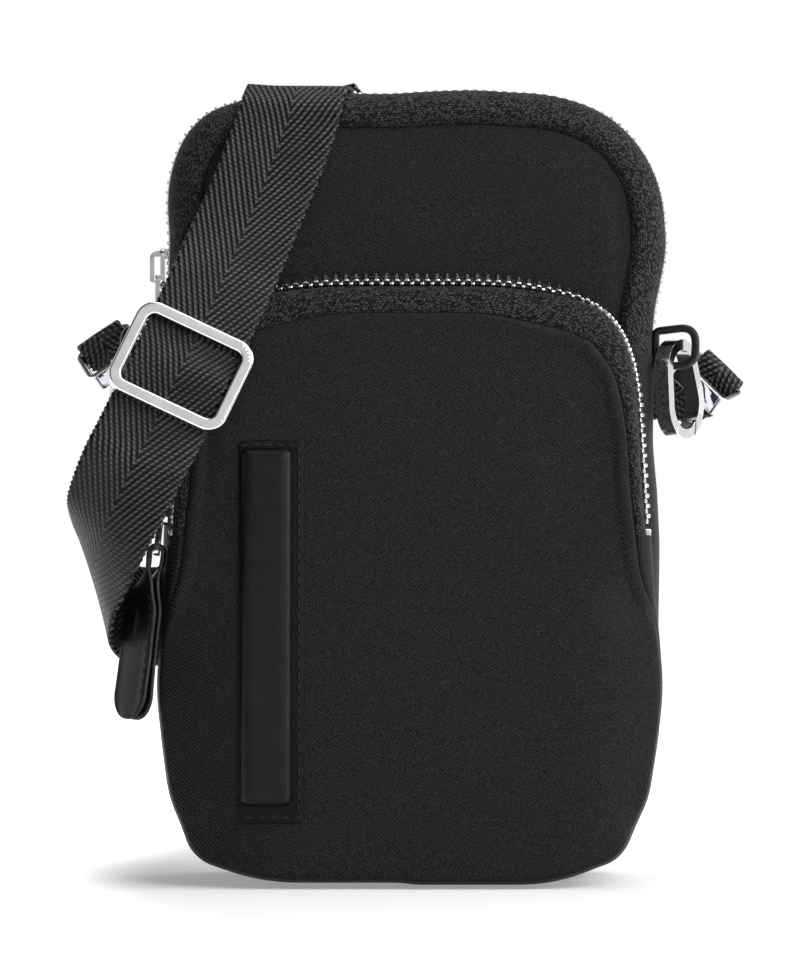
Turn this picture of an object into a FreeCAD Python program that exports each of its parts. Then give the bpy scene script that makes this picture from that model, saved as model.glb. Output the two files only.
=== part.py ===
import FreeCAD, Part
import math
import os

os.makedirs("parts", exist_ok=True)

V = FreeCAD.Vector
X_AXIS = V(1, 0, 0)
Y_AXIS = V(0, 1, 0)
Z_AXIS = V(0, 0, 1)

# Pouch body: +Z up, the front faces -Y, the origin is the middle of the main compartment's base.
height = 195.0
half_width = 60.5
belly_bulge = 1.5
belly_z = 48.0
belly_rise = 45.0
base_inset = 24.5
heel_inset = 7.0
heel_z = 5.5
flank_inset = 1.5
flank_z = 21.0
back_y = 14.0
main_depth = 28.0
main_round = 8.0
top_corner = 30.0
heel_corner = 11.0
flank_corner = 30.0
long_corner = 60.0
wall = 1.5
seam_gap = 0.3
lining_wall = 0.6
lining_slot = 13.0

# Front pocket: its front leans back towards the top.
pocket_height = 149.0
pocket_depth_base = 21.0
pocket_depth_top = 12.0
pocket_round = 5.0
pocket_zip_back = 8.2
pocket_side_drop = 21.0
pocket_side_inset = 3.9
pocket_foot_inset = 1.7
pocket_foot_rise = 3.0
pocket_ear_inset = 10.5
pocket_ear_drop = 5.5
pocket_ear_corner = 14.0
pocket_crown_inset = 34.5

# Zips: ends of the two runs, teeth and sliders.
main_zip_drop = 65.0
pocket_zip_drop = 64.0
tooth_pitch = 2.5
tooth_length = 1.3
tooth_reach = 2.2
tooth_height = 2.2
chain_gap = 0.9
slider_length = 10.0
slider_width = 8.4
slider_plate = 1.1
slider_cavity = 2.8
slider_web = 0.45
crown_height = 2.8
crown_bar = 1.1
crown_width = 1.8
crown_foot = 1.5
pin_diameter = 1.2
pull_width = 5.4
pull_plate = 1.1
main_pull_length = 9.5
main_slider_rise = 22.0
pocket_slider_rise = 8.0
pull_lean = 3.0

# Leather puller on the pocket zip.
link_length = 11.0
puller_length = 41.0
puller_width = 12.5
puller_thick = 2.8
puller_neck = 3.4
puller_neck_length = 5.0
puller_bore = 2.2
puller_twist = 38.0
puller_shift = 1.7

# Leather patch on the pocket front.
patch_width = 16.0
patch_bottom = 15.6
patch_top = 109.0
patch_thick = 1.0
patch_centre_x = -33.8
strip_width = 12.6
strip_bottom = 20.0
strip_top = 107.0
strip_thick = 2.4
strip_shift = -1.2

# Strap and adjuster.
strap_width = 25.0
strap_thick = 1.6
strap_lean = 25.2
strap_top_inset = 34.5
adjuster_inset = 4.8
adjuster_drop = 23.0
adjuster_stand = 8.2
shoulder_stand = 2.2
adjuster_height = 24.5
adjuster_bar = 3.0
adjuster_depth = 2.8
adjuster_corner = 5.0
crossbar_thick = 1.8
crossbar_half = 1.5
adjuster_margin = 0.4
run_past_adjuster = 19.0
loop_fall = 61.5
bight_length = 18.0
strap_clear = 0.35

# Strap folded away behind the pouch.
hank_x = 0.0
hank_low = 14.0
hank_drop = 45.0
hank_layers = 5
hank_pitch = 3.0
hank_gap = 0.5

# Side loops and snap hooks.
loop_y = -5.0
loop_drop = 3.1
loop_rise = 8.0
loop_reach = 11.5
loop_width = 4.4
loop_thick = 2.0
loop_turn = 8.0
loop_corner = 4.0
loop_root_corner = 1.2
hook_out = 6.0
hook_turn = 58.0
hook_top_radius = 6.5
hook_low_radius = 7.8
hook_drop = 3.6
hook_rise = 8.3
hook_band = 4.0
hook_thick = 2.6
gate_gap = 0.35
gate_start = 218.0
gate_reach = 8.6
eye_inside = 13.2
eye_short = 10.5
eye_band = 5.8
eye_wall = 1.5
eye_roll = 45.0
post_diameter = 2.6
post_clear = 0.08
right_swing = 14.0
left_swing = 38.0
end_strap_width = 12.5
end_strap_thick = 3.0
tail_reach = 59.0
tail_return = 25.0

front_y = back_y - main_depth
mid_y = back_y - main_depth / 2
tooth_mid = wall / 2
pocket_front_base = front_y - pocket_depth_base
pocket_lean = (pocket_depth_base - pocket_depth_top) / pocket_height
far = 4 * height
main_zip_end = height - main_zip_drop
pocket_zip_end = pocket_height - pocket_zip_drop
main_slider_z = main_zip_end + main_slider_rise
pocket_slider_z = pocket_zip_end + pocket_slider_rise
adjuster_width = strap_width + 2 * adjuster_bar
adjuster_x = adjuster_inset - half_width
adjuster_z = pocket_height - adjuster_drop
hook_x = half_width + hook_out
hank_high = height - hank_drop
loop_low = main_zip_end - loop_drop
loop_high = main_zip_end + loop_rise
hook_top_z = main_zip_end - hook_drop
hook_low_z = hook_top_z - hook_rise


def mirrored(half):
    """Corners (x, z, radius) of the right half, bottom to top, closed with the left half."""
    return half + [(-x, z, r) for x, z, r in reversed(half)]


def inset(corners, distance):
    """Moves every side of a corner polygon inwards by the distance."""
    count = len(corners)
    lines = []
    for i in range(count):
        ax, az, _ = corners[i]
        bx, bz, _ = corners[(i + 1) % count]
        length = math.hypot(bx - ax, bz - az)
        ux = (bx - ax) / length
        uz = (bz - az) / length
        lines.append((ax - uz * distance, az + ux * distance, ux, uz))
    result = []
    for i in range(count):
        px, pz, pux, puz = lines[i - 1]
        qx, qz, qux, quz = lines[i]
        turn = pux * quz - puz * qux
        along = ((qx - px) * quz - (qz - pz) * qux) / turn
        radius = corners[i][2] - math.copysign(distance, turn)
        result.append((px + pux * along, pz + puz * along, max(radius, 0.2)))
    return result


def outline(corners, y):
    """Closed wire of a polygon in the plane Y = y, with its corners rounded."""
    count = len(corners)
    points = [V(x, y, z) for x, z, _ in corners]
    arcs = []
    for i in range(count):
        back = points[i - 1] - points[i]
        ahead = points[(i + 1) % count] - points[i]
        room = 0.49 * min(back.Length, ahead.Length)
        back.normalize()
        ahead.normalize()
        half = back.getAngle(ahead) / 2
        reach = min(corners[i][2] / math.tan(half), room)
        radius = reach * math.tan(half)
        middle = (back + ahead).normalize()
        crest = points[i] + middle * (radius / math.sin(half) - radius)
        arcs.append((points[i] + back * reach, crest, points[i] + ahead * reach))
    edges = []
    for i in range(count):
        start, crest, end = arcs[i]
        edges.append(Part.Arc(start, crest, end).toShape())
        edges.append(Part.makeLine(end, arcs[(i + 1) % count][0]))
    return Part.Wire(edges)


def prism(corners, y_low, y_high):
    return Part.Face(outline(corners, y_low)).extrude(V(0, y_high - y_low, 0))


def rounded_prism(corners, y_low, y_high, radius):
    """Prism along Y with its front and back rims rounded."""
    body = prism(corners, y_low, y_high)
    rims = []
    for edge in body.Edges:
        ys = [v.Point.y for v in edge.Vertexes]
        if max(ys) - min(ys) < 1e-6:
            rims.append(edge)
    return body.makeFillet(radius, rims)


def box(low, high):
    size = V(*high) - V(*low)
    return Part.makeBox(size.x, size.y, size.z, V(*low))


def above(z):
    return box((-far, -far, z), (far, far, far))


def below(z):
    return box((-far, -far, -far), (far, far, z))


def moved(shape, offset):
    copy = shape.copy()
    copy.translate(offset)
    return copy


def turned(shape, centre, axis, degrees):
    copy = shape.copy()
    copy.rotate(centre, axis, degrees)
    return copy


def flipped(shape):
    """The same piece on the other side of the pouch."""
    return shape.mirror(V(0, 0, 0), X_AXIS)


def save(name, shape):
    if shape.ShapeType == "Compound" and len(shape.Solids) == 1:
        shape = shape.Solids[0]
    shape.exportStep("parts/" + name + ".step")


lower_corners = [
    (half_width - base_inset, 0.0, long_corner),
    (half_width - heel_inset, heel_z, heel_corner),
    (half_width - flank_inset, flank_z, flank_corner),
    (half_width + belly_bulge, belly_z, long_corner),
]
main_corners = mirrored(lower_corners + [
    (half_width, belly_z + belly_rise, long_corner),
    (half_width, height, top_corner),
])
pocket_side_low = (half_width - pocket_foot_inset, pocket_zip_end + pocket_foot_rise)
pocket_side_high = (half_width - pocket_side_inset, pocket_height - pocket_side_drop)
pocket_corners = mirrored(lower_corners + [
    (pocket_side_low[0], pocket_side_low[1], long_corner),
    (pocket_side_high[0], pocket_side_high[1], flank_corner),
    (half_width - pocket_ear_inset, pocket_height - pocket_ear_drop, pocket_ear_corner),
    (half_width - pocket_crown_inset, pocket_height, long_corner),
])


def split_ring(ring, end_z, slab):
    """Side ring of a shell: the part below the zip, and the tapes before and behind its chain."""
    low = ring.common(below(end_z - seam_gap / 2))
    zipped = ring.common(above(end_z + seam_gap / 2)).cut(slab)
    halves = sorted(zipped.Solids, key=lambda s: s.CenterOfMass.y)
    return low, halves[0], halves[-1]


def chain_slab(thickness):
    """Space kept free for the chain, about the plane Y = 0."""
    return box((-far, -thickness / 2, -far), (far, thickness / 2, far))


chain_space = chain_gap + 2 * tooth_reach + 0.2

# Main compartment.
main_outer = rounded_prism(main_corners, front_y, back_y, main_round)
main_inner = rounded_prism(
    inset(main_corners, wall), front_y + wall, back_y - wall, main_round - wall)
panel_edge = main_round + seam_gap / 2
ring_edge = main_round - seam_gap / 2
panel_plan = inset(main_corners, panel_edge)
front_panel = prism(panel_plan, front_y, front_y + wall)
back_panel = prism(panel_plan, back_y - wall, back_y)
main_ring = main_outer.cut(main_inner).cut(prism(inset(main_corners, ring_edge), -far, far))
side_gusset, main_tape_front, main_tape_back = split_ring(
    main_ring, main_zip_end, moved(chain_slab(chain_space), V(0, mid_y, 0)))
save("front_panel", front_panel)
save("back_panel", back_panel)
save("side_gusset", side_gusset)
save("main_tape_front", main_tape_front)
save("main_tape_back", main_tape_back)

lining_out = wall + seam_gap
lining_in = lining_out + lining_wall
main_lining = rounded_prism(
    inset(main_corners, lining_out), front_y + lining_out, back_y - lining_out,
    main_round - lining_out)
main_lining = main_lining.cut(rounded_prism(
    inset(main_corners, lining_in), front_y + lining_in, back_y - lining_in,
    main_round - lining_in))
lining_mouth = box((-far, mid_y - lining_slot / 2, main_zip_end - 2), (far, mid_y + lining_slot / 2, far))
save("main_lining", main_lining.cut(lining_mouth))


def pocket_plane_y(z):
    return pocket_front_base + pocket_lean * z


def before_plane(offset):
    """Everything in front of the leaning pocket front, moved back by the offset."""
    low = pocket_plane_y(-height) + offset
    high = pocket_plane_y(2 * height) + offset
    side = Part.makePolygon([
        V(-far, low, -height), V(-far, high, 2 * height),
        V(-far, -far, 2 * height), V(-far, -far, -height), V(-far, low, -height)])
    return Part.Face(side).extrude(V(2 * far, 0, 0))


def pocket_block(distance, radius):
    """Pocket volume inset by the distance, with its front rim rounded."""
    block = prism(inset(pocket_corners, distance), -far / 4, back_y / 2)
    block = block.cut(before_plane(distance))
    rims = []
    for edge in block.Edges:
        ends = [v.Point for v in edge.Vertexes]
        if all(abs(p.y - pocket_plane_y(p.z) - distance) < 1e-4 for p in ends):
            rims.append(edge)
    return block.makeFillet(radius, rims)


# Front pocket.
main_grown = rounded_prism(
    inset(main_corners, -seam_gap), front_y - seam_gap, back_y + seam_gap, main_round + seam_gap)
pocket_shell = pocket_block(0.0, pocket_round).cut(pocket_block(wall, pocket_round - wall))
pocket_shell = pocket_shell.cut(main_grown)
pocket_plan = prism(inset(pocket_corners, pocket_round + seam_gap / 2), -far / 4, back_y / 2)
pocket_hole = prism(inset(pocket_corners, pocket_round - seam_gap / 2), -far / 4, back_y / 2)
pocket_panel = pocket_shell.common(pocket_plan)
pocket_tilt = math.degrees(math.atan(pocket_lean))
pocket_zip_y = pocket_front_base + pocket_zip_back


def on_pocket(shape):
    """Takes a piece drawn about the plane Y = 0 to the pocket zip's leaning plane."""
    return moved(turned(shape, V(0, 0, 0), X_AXIS, -pocket_tilt), V(0, pocket_zip_y, 0))


pocket_gusset, pocket_tape_outer, pocket_tape_inner = split_ring(
    pocket_shell.cut(pocket_hole), pocket_zip_end, on_pocket(chain_slab(chain_space)))
save("pocket_panel", pocket_panel)
save("pocket_gusset", pocket_gusset)
save("pocket_tape_outer", pocket_tape_outer)
save("pocket_tape_inner", pocket_tape_inner)

pocket_lining = pocket_block(lining_out, pocket_round - lining_out).cut(
    pocket_block(lining_in, pocket_round - lining_in))
main_more = rounded_prism(
    inset(main_corners, -2 * seam_gap), front_y - 2 * seam_gap, back_y + 2 * seam_gap,
    main_round + 2 * seam_gap)
pocket_slot = 2 * (pocket_zip_back - lining_in - 2 * seam_gap)
pocket_mouth = chain_slab(pocket_slot).common(above(pocket_zip_end - 2))
save("pocket_lining", pocket_lining.cut(main_more).cut(on_pocket(pocket_mouth)))


def teeth(corners, end_z, side):
    """One row of teeth along a rim, on one side of the plane Y = 0."""
    path = outline(inset(corners, tooth_mid), 0.0)
    count = int(path.Length / tooth_pitch)
    points = path.discretize(Number=count + 1)
    root = side * (chain_gap / 2 + tooth_reach)
    row = []
    for before, here, after in zip(points, points[1:], points[2:]):
        if here.z < end_z + 2 * tooth_length:
            continue
        angle = math.degrees(math.atan2(after.z - before.z, after.x - before.x))
        low = min(side * chain_gap / 2, root)
        tooth = box((-tooth_length / 2, low, -tooth_height / 2),
                    (tooth_length / 2, low + tooth_reach, tooth_height / 2))
        row.append(moved(turned(tooth, V(0, 0, 0), Y_AXIS, -angle), here))
    return Part.makeCompound(row)


save("main_teeth_front", moved(teeth(main_corners, main_zip_end, -1), V(0, mid_y, 0)))
save("main_teeth_back", moved(teeth(main_corners, main_zip_end, 1), V(0, mid_y, 0)))
save("pocket_teeth_outer", on_pocket(teeth(pocket_corners, pocket_zip_end, -1)))
save("pocket_teeth_inner", on_pocket(teeth(pocket_corners, pocket_zip_end, 1)))


def side_x(low, high, z):
    share = (z - low[1]) / (high[1] - low[1])
    return low[0] + share * (high[0] - low[0])


def end_stop(length):
    """Stop across the chain at the end of a zip, drawn upright at the origin."""
    half = chain_gap / 2 + tooth_reach
    stop = box((-tooth_height / 2, -half, 0), (tooth_height / 2, half, length))
    return stop.makeFillet(0.4, stop.Edges)


stop_length = 2 * tooth_length - 0.6
main_stop = moved(end_stop(stop_length), V(half_width - tooth_mid, mid_y, main_zip_end + 0.2))
save("main_stops", Part.makeCompound([main_stop, flipped(main_stop)]))
stop_x = side_x(pocket_side_low, pocket_side_high, pocket_zip_end + 1) - tooth_mid
pocket_stop = moved(end_stop(stop_length), V(stop_x, 0, pocket_zip_end + 0.2))
save("pocket_stops", on_pocket(Part.makeCompound([pocket_stop, flipped(pocket_stop)])))

# Sliders, drawn at the origin on a tape that runs up along Z with its outside to -X.
plate_in = slider_cavity / 2
plate_out = plate_in + slider_plate
pin_x = -plate_out - 0.25 - pull_plate / 2
pin_z = -slider_length / 2 + crown_foot + 0.5 + pin_diameter / 2 + 0.2


def slider():
    plates = []
    for start in (-plate_out, plate_in):
        plate = box((start, -slider_width / 2, -slider_length / 2),
                    (start + slider_plate, slider_width / 2, slider_length / 2))
        corners = [e for e in plate.Edges if abs(e.tangentAt(0).x) > 0.99]
        plates.append(plate.makeFillet(2.0, corners))
    web = box((-plate_out, -slider_web / 2, slider_length / 4),
              (plate_out, slider_web / 2, slider_length / 2))
    foot = slider_length / 2 - 0.5
    crown = box((-plate_out - crown_height, -crown_width / 2, -foot), (-plate_out, crown_width / 2, foot))
    outer = [e for e in crown.Edges
             if abs(e.tangentAt(0).y) > 0.99 and e.CenterOfMass.x < -plate_out - crown_height / 2]
    crown = crown.makeFillet(2.0, outer)
    hole = box((-plate_out - crown_height + crown_bar, -crown_width, -foot + crown_foot),
               (-plate_out, crown_width, foot - crown_foot))
    return plates[0].fuse([plates[1], web, crown.cut(hole)]).removeSplitter()


def pull(length, slot):
    """Metal pull hanging from the pin under the crown, with an open slot at its foot if asked for."""
    half = pull_width / 2 if not slot else slot / 2 + 1.2
    top = pin_z + pin_diameter / 2
    plate = box((pin_x - pull_plate / 2, -half, top - length), (pin_x + pull_plate / 2, half, top))
    corners = [e for e in plate.Edges if abs(e.tangentAt(0).x) > 0.99]
    plate = plate.makeFillet(1.2, corners)
    inner = crown_width / 2 + 0.3
    window_low = pin_z - 5.0
    plate = plate.cut(box((-far, -inner, window_low), (far, inner, far)))
    if slot:
        low = top - length + 1.4
        plate = plate.cut(box((-far, -slot / 2, low), (far, slot / 2, low + 2.4)))
    pin = Part.makeCylinder(pin_diameter / 2, 2 * inner + 0.4, V(pin_x, -inner - 0.2, pin_z), Y_AXIS)
    return plate.fuse(pin).removeSplitter()


def leaned(shape, centre):
    """Pulls hang a little off the side, clear of the belly of the pouch."""
    return turned(shape, centre, Y_AXIS, pull_lean)


pin_point = V(pin_x, 0, pin_z)
main_place = V(-half_width + tooth_mid, mid_y, main_slider_z)
save("main_slider", moved(slider(), main_place))
save("main_pull", moved(pull(main_pull_length, 0.0), main_place))

pocket_side_x = side_x(pocket_side_low, pocket_side_high, pocket_slider_z)
pocket_place = V(-pocket_side_x + tooth_mid, 0, pocket_slider_z)
side_rise = pocket_side_high[1] - pocket_side_low[1]
side_lean = math.degrees(math.atan((pocket_side_low[0] - pocket_side_high[0]) / side_rise))


def on_pocket_side(shape):
    return on_pocket(moved(turned(shape, V(0, 0, 0), Y_AXIS, side_lean), pocket_place))


puller_slot = 7.0
link_bar_z = pin_z + pin_diameter / 2 - link_length + 0.7
link_bar = V(pin_x, 0, link_bar_z)
save("pocket_slider", on_pocket_side(slider()))
save("pocket_link", on_pocket_side(leaned(pull(link_length, puller_slot), pin_point)))


def leather_puller():
    """Leather tab on the bar of the link, twisted to the front below its neck, with a rounded lower end."""
    neck_half = puller_slot / 2 - 0.4
    neck_low = link_bar_z - puller_neck_length
    neck = box((pin_x - puller_neck / 2, -neck_half, neck_low),
               (pin_x + puller_neck / 2, neck_half, link_bar_z + 1.6))
    bar_room = Part.makeCylinder(puller_bore / 2, 2 * far, V(pin_x, -far, link_bar_z), Y_AXIS)
    half = puller_width / 2
    low = link_bar_z - puller_length
    body = box((pin_x - puller_thick / 2, -half, low), (pin_x + puller_thick / 2, half, neck_low + 1.0))
    ends = [e for e in body.Edges
            if abs(e.tangentAt(0).x) > 0.99 and e.CenterOfMass.z < low + half]
    body = turned(body.makeFillet(0.95 * half, ends), V(pin_x, 0, 0), Z_AXIS, puller_twist)
    body = moved(body, V(-puller_shift, -puller_shift, 0))
    return neck.cut(bar_room).fuse(body).removeSplitter()


save("pocket_puller", on_pocket_side(leaned(leather_puller(), pin_point)))


def on_pocket_front(shape):
    """Takes a piece drawn with its back on the plane Y = 0 to the leaning pocket front."""
    return moved(turned(shape, V(0, 0, 0), X_AXIS, -pocket_tilt), V(0, pocket_front_base, 0))


def leather_plate(width, centre_x, low, high, thick, back, corner):
    plate = box((centre_x - width / 2, back - thick, low), (centre_x + width / 2, back, high))
    sides = [e for e in plate.Edges if abs(e.tangentAt(0).y) > 0.99]
    return plate.makeFillet(corner, sides)


patch = leather_plate(patch_width, patch_centre_x, patch_bottom, patch_top, patch_thick, -0.05, 1.5)
strip = leather_plate(
    strip_width, patch_centre_x + strip_shift, strip_bottom, strip_top, strip_thick, -patch_thick - 0.1, 1.2)
save("leather_patch", on_pocket_front(patch))
save("leather_strip", on_pocket_front(strip))


def ribbon(stations, width, thick):
    """Flat band through stations of (centre, vector across the band, 1 long for its full width)."""
    wires = []
    for i, (centre, across) in enumerate(stations):
        before = stations[max(i - 1, 0)][0]
        after = stations[min(i + 1, len(stations) - 1)][0]
        normal = (after - before).cross(across).normalize()
        side = across * (width / 2)
        rise = normal * (thick / 2)
        corners = [centre - side - rise, centre + side - rise, centre + side + rise, centre - side + rise]
        wires.append(Part.makePolygon(corners + corners[:1]))
    band = Part.makeLoft(wires, True, True)
    if band.Volume < 0:
        band.reverse()
    return band


# Strap: over the top, down the front through the adjuster, round the left side.
lean = math.radians(strap_lean)
run_across = V(math.cos(lean), 0, -math.sin(lean))
rim_radius = main_round + strap_thick / 2 + 0.8
rim_z = height - main_round
front_start_y = front_y + main_round - rim_radius
strap_top_x = strap_top_inset - half_width


def strap_x(z):
    """Middle of the front run at a height."""
    return adjuster_x + (z - adjuster_z) * math.tan(lean)


shoulder = V(strap_x(pocket_height), pocket_plane_y(pocket_height) - shoulder_stand, pocket_height)
adjuster_centre = V(adjuster_x, pocket_plane_y(adjuster_z) - adjuster_stand, adjuster_z)
run_down = (adjuster_centre - shoulder).normalize()
run_normal = run_across.cross(run_down).normalize()
run_end = adjuster_centre + run_down * run_past_adjuster
skewed = X_AXIS / math.cos(lean)
stations = [(V(strap_top_x + 26.0, back_y - main_round + rim_radius, rim_z - 30.0), skewed)]
for degrees in (0, 20, 40, 60, 80):
    turn = math.radians(degrees)
    point = V(strap_top_x + 9.0 - degrees / 11.0, back_y - main_round + rim_radius * math.cos(turn),
              rim_z + rim_radius * math.sin(turn))
    stations.append((point, skewed))
for degrees in (80, 60, 40, 20):
    turn = math.radians(degrees)
    point = V(strap_top_x - (80 - degrees) / 30.0, front_y + main_round - rim_radius * math.cos(turn),
              rim_z + rim_radius * math.sin(turn))
    stations.append((point, skewed))
stations.append((V(strap_x(rim_z), front_start_y, rim_z), run_across))
stations.append((shoulder, run_across))
stations.append((run_end, run_across))
save("strap_front", ribbon(stations, strap_width, strap_thick))

loop_z = adjuster_z - loop_fall
loop_stations = [(run_end + run_down * strap_clear, run_across)]
for offset, across in (
        (V(-11.4, -7.3, -23.8), V(0.89, -0.03, -0.45)),
        (V(-16.7, -5.9, -35.6), V(0.80, -0.29, -0.50)),
        (V(-19.3, -0.4, -43.4), V(0.62, -0.51, -0.59)),
        (V(-21.0, 8.6, -50.0), V(0.37, -0.585, -0.72)),
        (V(-20.3, 19.9, -56.0), V(0.20, -0.40, -0.89)),
        (V(-16.0, 33.6, -60.0), V(0.05, -0.20, -0.98)),
        (V(-11.3, 44.6, -loop_fall), Z_AXIS * -1)):
    loop_stations.append((adjuster_centre + offset, across))
for out, behind, rise in ((2.5, 1.5, 0.0), (-3.5, 5.0, 0.5), (-20.5, 6.5, 4.5)):
    loop_stations.append((V(-half_width - out, back_y + behind, loop_z + rise), Z_AXIS * -1))
loop_stations.append((V(hank_x - strap_width / 2 - 1.0, back_y + 7.0, loop_z + 9.5), Z_AXIS * -1))
save("strap_loop", ribbon(loop_stations, strap_width, strap_thick))


hank_first_y = back_y + hank_gap + strap_thick / 2


def hank():
    """The rest of the strap folded to and fro in flat layers behind the back."""
    bend = hank_pitch / 2
    inner = bend - strap_thick / 2
    outer = bend + strap_thick / 2
    pieces = []
    for layer in range(hank_layers):
        y = hank_first_y + layer * hank_pitch
        pieces.append(box((-strap_width / 2, y - strap_thick / 2, hank_low),
                          (strap_width / 2, y + strap_thick / 2, hank_high)))
    for layer in range(hank_layers - 1):
        y = hank_first_y + (layer + 0.5) * hank_pitch
        z = hank_high if layer % 2 == 0 else hank_low
        ring = Part.makeCylinder(outer, strap_width, V(-strap_width / 2, y, z), X_AXIS)
        ring = ring.cut(Part.makeCylinder(inner, strap_width, V(-strap_width / 2, y, z), X_AXIS))
        pieces.append(ring.common(above(z) if layer % 2 == 0 else below(z)))
    return moved(pieces[0].fuse(pieces[1:]).removeSplitter(), V(hank_x, 0, 0))


save("strap_hank", hank())

# Adjuster, drawn with its middle at the origin, the strap along Z and the front to -Y.
bar_back = strap_thick / 2 + strap_clear
opening_half = adjuster_width / 2 - adjuster_bar


def adjuster_frame():
    half_x = adjuster_width / 2
    half_z = adjuster_height / 2
    ring = prism([(half_x, -half_z, adjuster_corner), (half_x, half_z, adjuster_corner),
                  (-half_x, half_z, adjuster_corner), (-half_x, -half_z, adjuster_corner)],
                 -bar_back - adjuster_depth, -bar_back)
    inner_z = half_z - adjuster_bar
    inner = adjuster_corner - adjuster_bar
    hole = prism([(opening_half, -inner_z, inner), (opening_half, inner_z, inner),
                  (-opening_half, inner_z, inner), (-opening_half, -inner_z, inner)], -far, far)
    return ring.cut(hole)


def adjuster_crossbar():
    """Middle bar behind the strap, on two arms that stand on the frame's sides."""
    outer = adjuster_width / 2 - adjuster_margin
    inner = strap_width / 2 + adjuster_margin
    bar = box((-outer, bar_back, -crossbar_half), (outer, bar_back + crossbar_thick, crossbar_half))
    arm = box((inner, -bar_back, -crossbar_half), (outer, bar_back, crossbar_half))
    return bar.fuse([arm, flipped(arm)]).removeSplitter()


def strap_bight():
    """Sewn end of the strap, folded round the middle bar and lying behind it."""
    top = crossbar_half + strap_clear
    back = bar_back + crossbar_thick + strap_clear
    half = strap_width / 2
    layer = box((-half, back, -bight_length), (half, back + strap_thick, top + strap_thick))
    fold = box((-half, bar_back, top), (half, back, top + strap_thick))
    return layer.fuse(fold).removeSplitter()


strap_frame = FreeCAD.Rotation(run_across, run_normal * -1, run_down * -1, "ZXY")


def on_strap(shape):
    copy = shape.copy()
    copy.Placement = FreeCAD.Placement(adjuster_centre, strap_frame).multiply(copy.Placement)
    return copy


save("adjuster_frame", on_strap(adjuster_frame()))
save("adjuster_bar", on_strap(adjuster_crossbar()))
save("strap_bight", on_strap(strap_bight()))


# Side loops and snap hooks, drawn for the right side.
def side_loop():
    """Leather loop with its eye open to the front."""
    root = half_width + 0.1
    corners = [(root + loop_reach, loop_low, loop_corner), (root + loop_reach, loop_high, loop_corner),
               (root, loop_high - loop_root_corner, loop_root_corner), (root, loop_low, loop_root_corner)]
    half = loop_width / 2
    loop = prism(corners, -half, half).cut(prism(inset(corners, loop_thick), -far, far))
    return moved(turned(loop, V(root, 0, 0), Z_AXIS, -loop_turn), V(0, loop_y, 0)).cut(
        box((-far, -far, -far), (half_width + 0.1, far, far)))


def pear(grow, half):
    """Pear outline about the two hook centres, widened by grow, as a prism along Y."""
    top = Part.makeCylinder(hook_top_radius + grow, 2 * half, V(0, -half, hook_top_z), Y_AXIS)
    low = Part.makeCylinder(hook_low_radius + grow, 2 * half, V(0, -half, hook_low_z), Y_AXIS)
    rise = hook_top_z - hook_low_z
    shift = math.asin((hook_low_radius - hook_top_radius) / rise)
    flank = []
    for radius, z in ((hook_low_radius + grow, hook_low_z), (hook_top_radius + grow, hook_top_z)):
        flank.append((radius * math.cos(shift), z + radius * math.sin(shift)))
    (low_x, low_z), (top_x, top_z) = flank
    points = [V(-low_x, -half, low_z), V(low_x, -half, low_z),
              V(top_x, -half, top_z), V(-top_x, -half, top_z)]
    wedge = Part.Face(Part.makePolygon(points + points[:1])).extrude(V(0, 2 * half, 0))
    return top.fuse([low, wedge]).removeSplitter()


hook_half = hook_band / 2
hook_ring = pear(hook_thick / 2, hook_half).cut(pear(-hook_thick / 2, hook_half + 1))
gate_inner = hook_low_radius - hook_thick / 2
gate_angle = math.radians(gate_start)
gate_pivot = V(gate_inner * math.cos(gate_angle), 0, hook_low_z + gate_inner * math.sin(gate_angle))


def gate_space(gap):
    """Room of the gate: past a radial cut at its hinge, and within a round cut about the hinge."""
    start = gate_angle - gap / hook_low_radius
    centre = V(0, -far, hook_low_z)
    points = [centre]
    for degrees in (0, 60, 120):
        turn = start + math.radians(degrees)
        points.append(centre + V(far * math.cos(turn), 0, far * math.sin(turn)))
    wedge = Part.Face(Part.makePolygon(points + points[:1])).extrude(V(0, 2 * far, 0))
    swing = Part.makeCylinder(gate_reach + gap, 2 * far, gate_pivot + V(0, -far, 0), Y_AXIS)
    return wedge.common(swing)


post_z = hook_low_z + 1.5
post_start = hook_low_radius + hook_thick / 2 - 0.4
eye_start = post_start + 0.8
head_start = eye_start + eye_wall + post_clear
post = Part.makeCylinder(post_diameter / 2, head_start - post_start + 0.6, V(post_start, 0, post_z), X_AXIS)
head = Part.makeCylinder(post_diameter / 2 + 0.9, 1.2, V(head_start, 0, post_z), X_AXIS)
hook = hook_ring.cut(gate_space(gate_gap)).fuse([post, head]).removeSplitter()
gate = hook_ring.common(gate_space(0.0))


def strap_eye():
    """Flat band bent to a rectangle, turning on the post of the hook."""
    half = eye_inside / 2 + eye_wall
    outer = box((eye_start, -half, -eye_band / 2), (eye_start + eye_short, half, eye_band / 2))
    corners = [e for e in outer.Edges if abs(e.tangentAt(0).z) > 0.99]
    outer = outer.makeFillet(2.4, corners)
    inner = box((eye_start + eye_wall, -eye_inside / 2, -far),
                (eye_start + eye_short - eye_wall, eye_inside / 2, far))
    bore = Part.makeCylinder(post_diameter / 2 + post_clear, 2 * eye_wall, V(eye_start - 0.5, 0, 0), X_AXIS)
    return moved(turned(outer.cut(inner).cut(bore), V(0, 0, 0), X_AXIS, eye_roll), V(0, 0, post_z))


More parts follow.
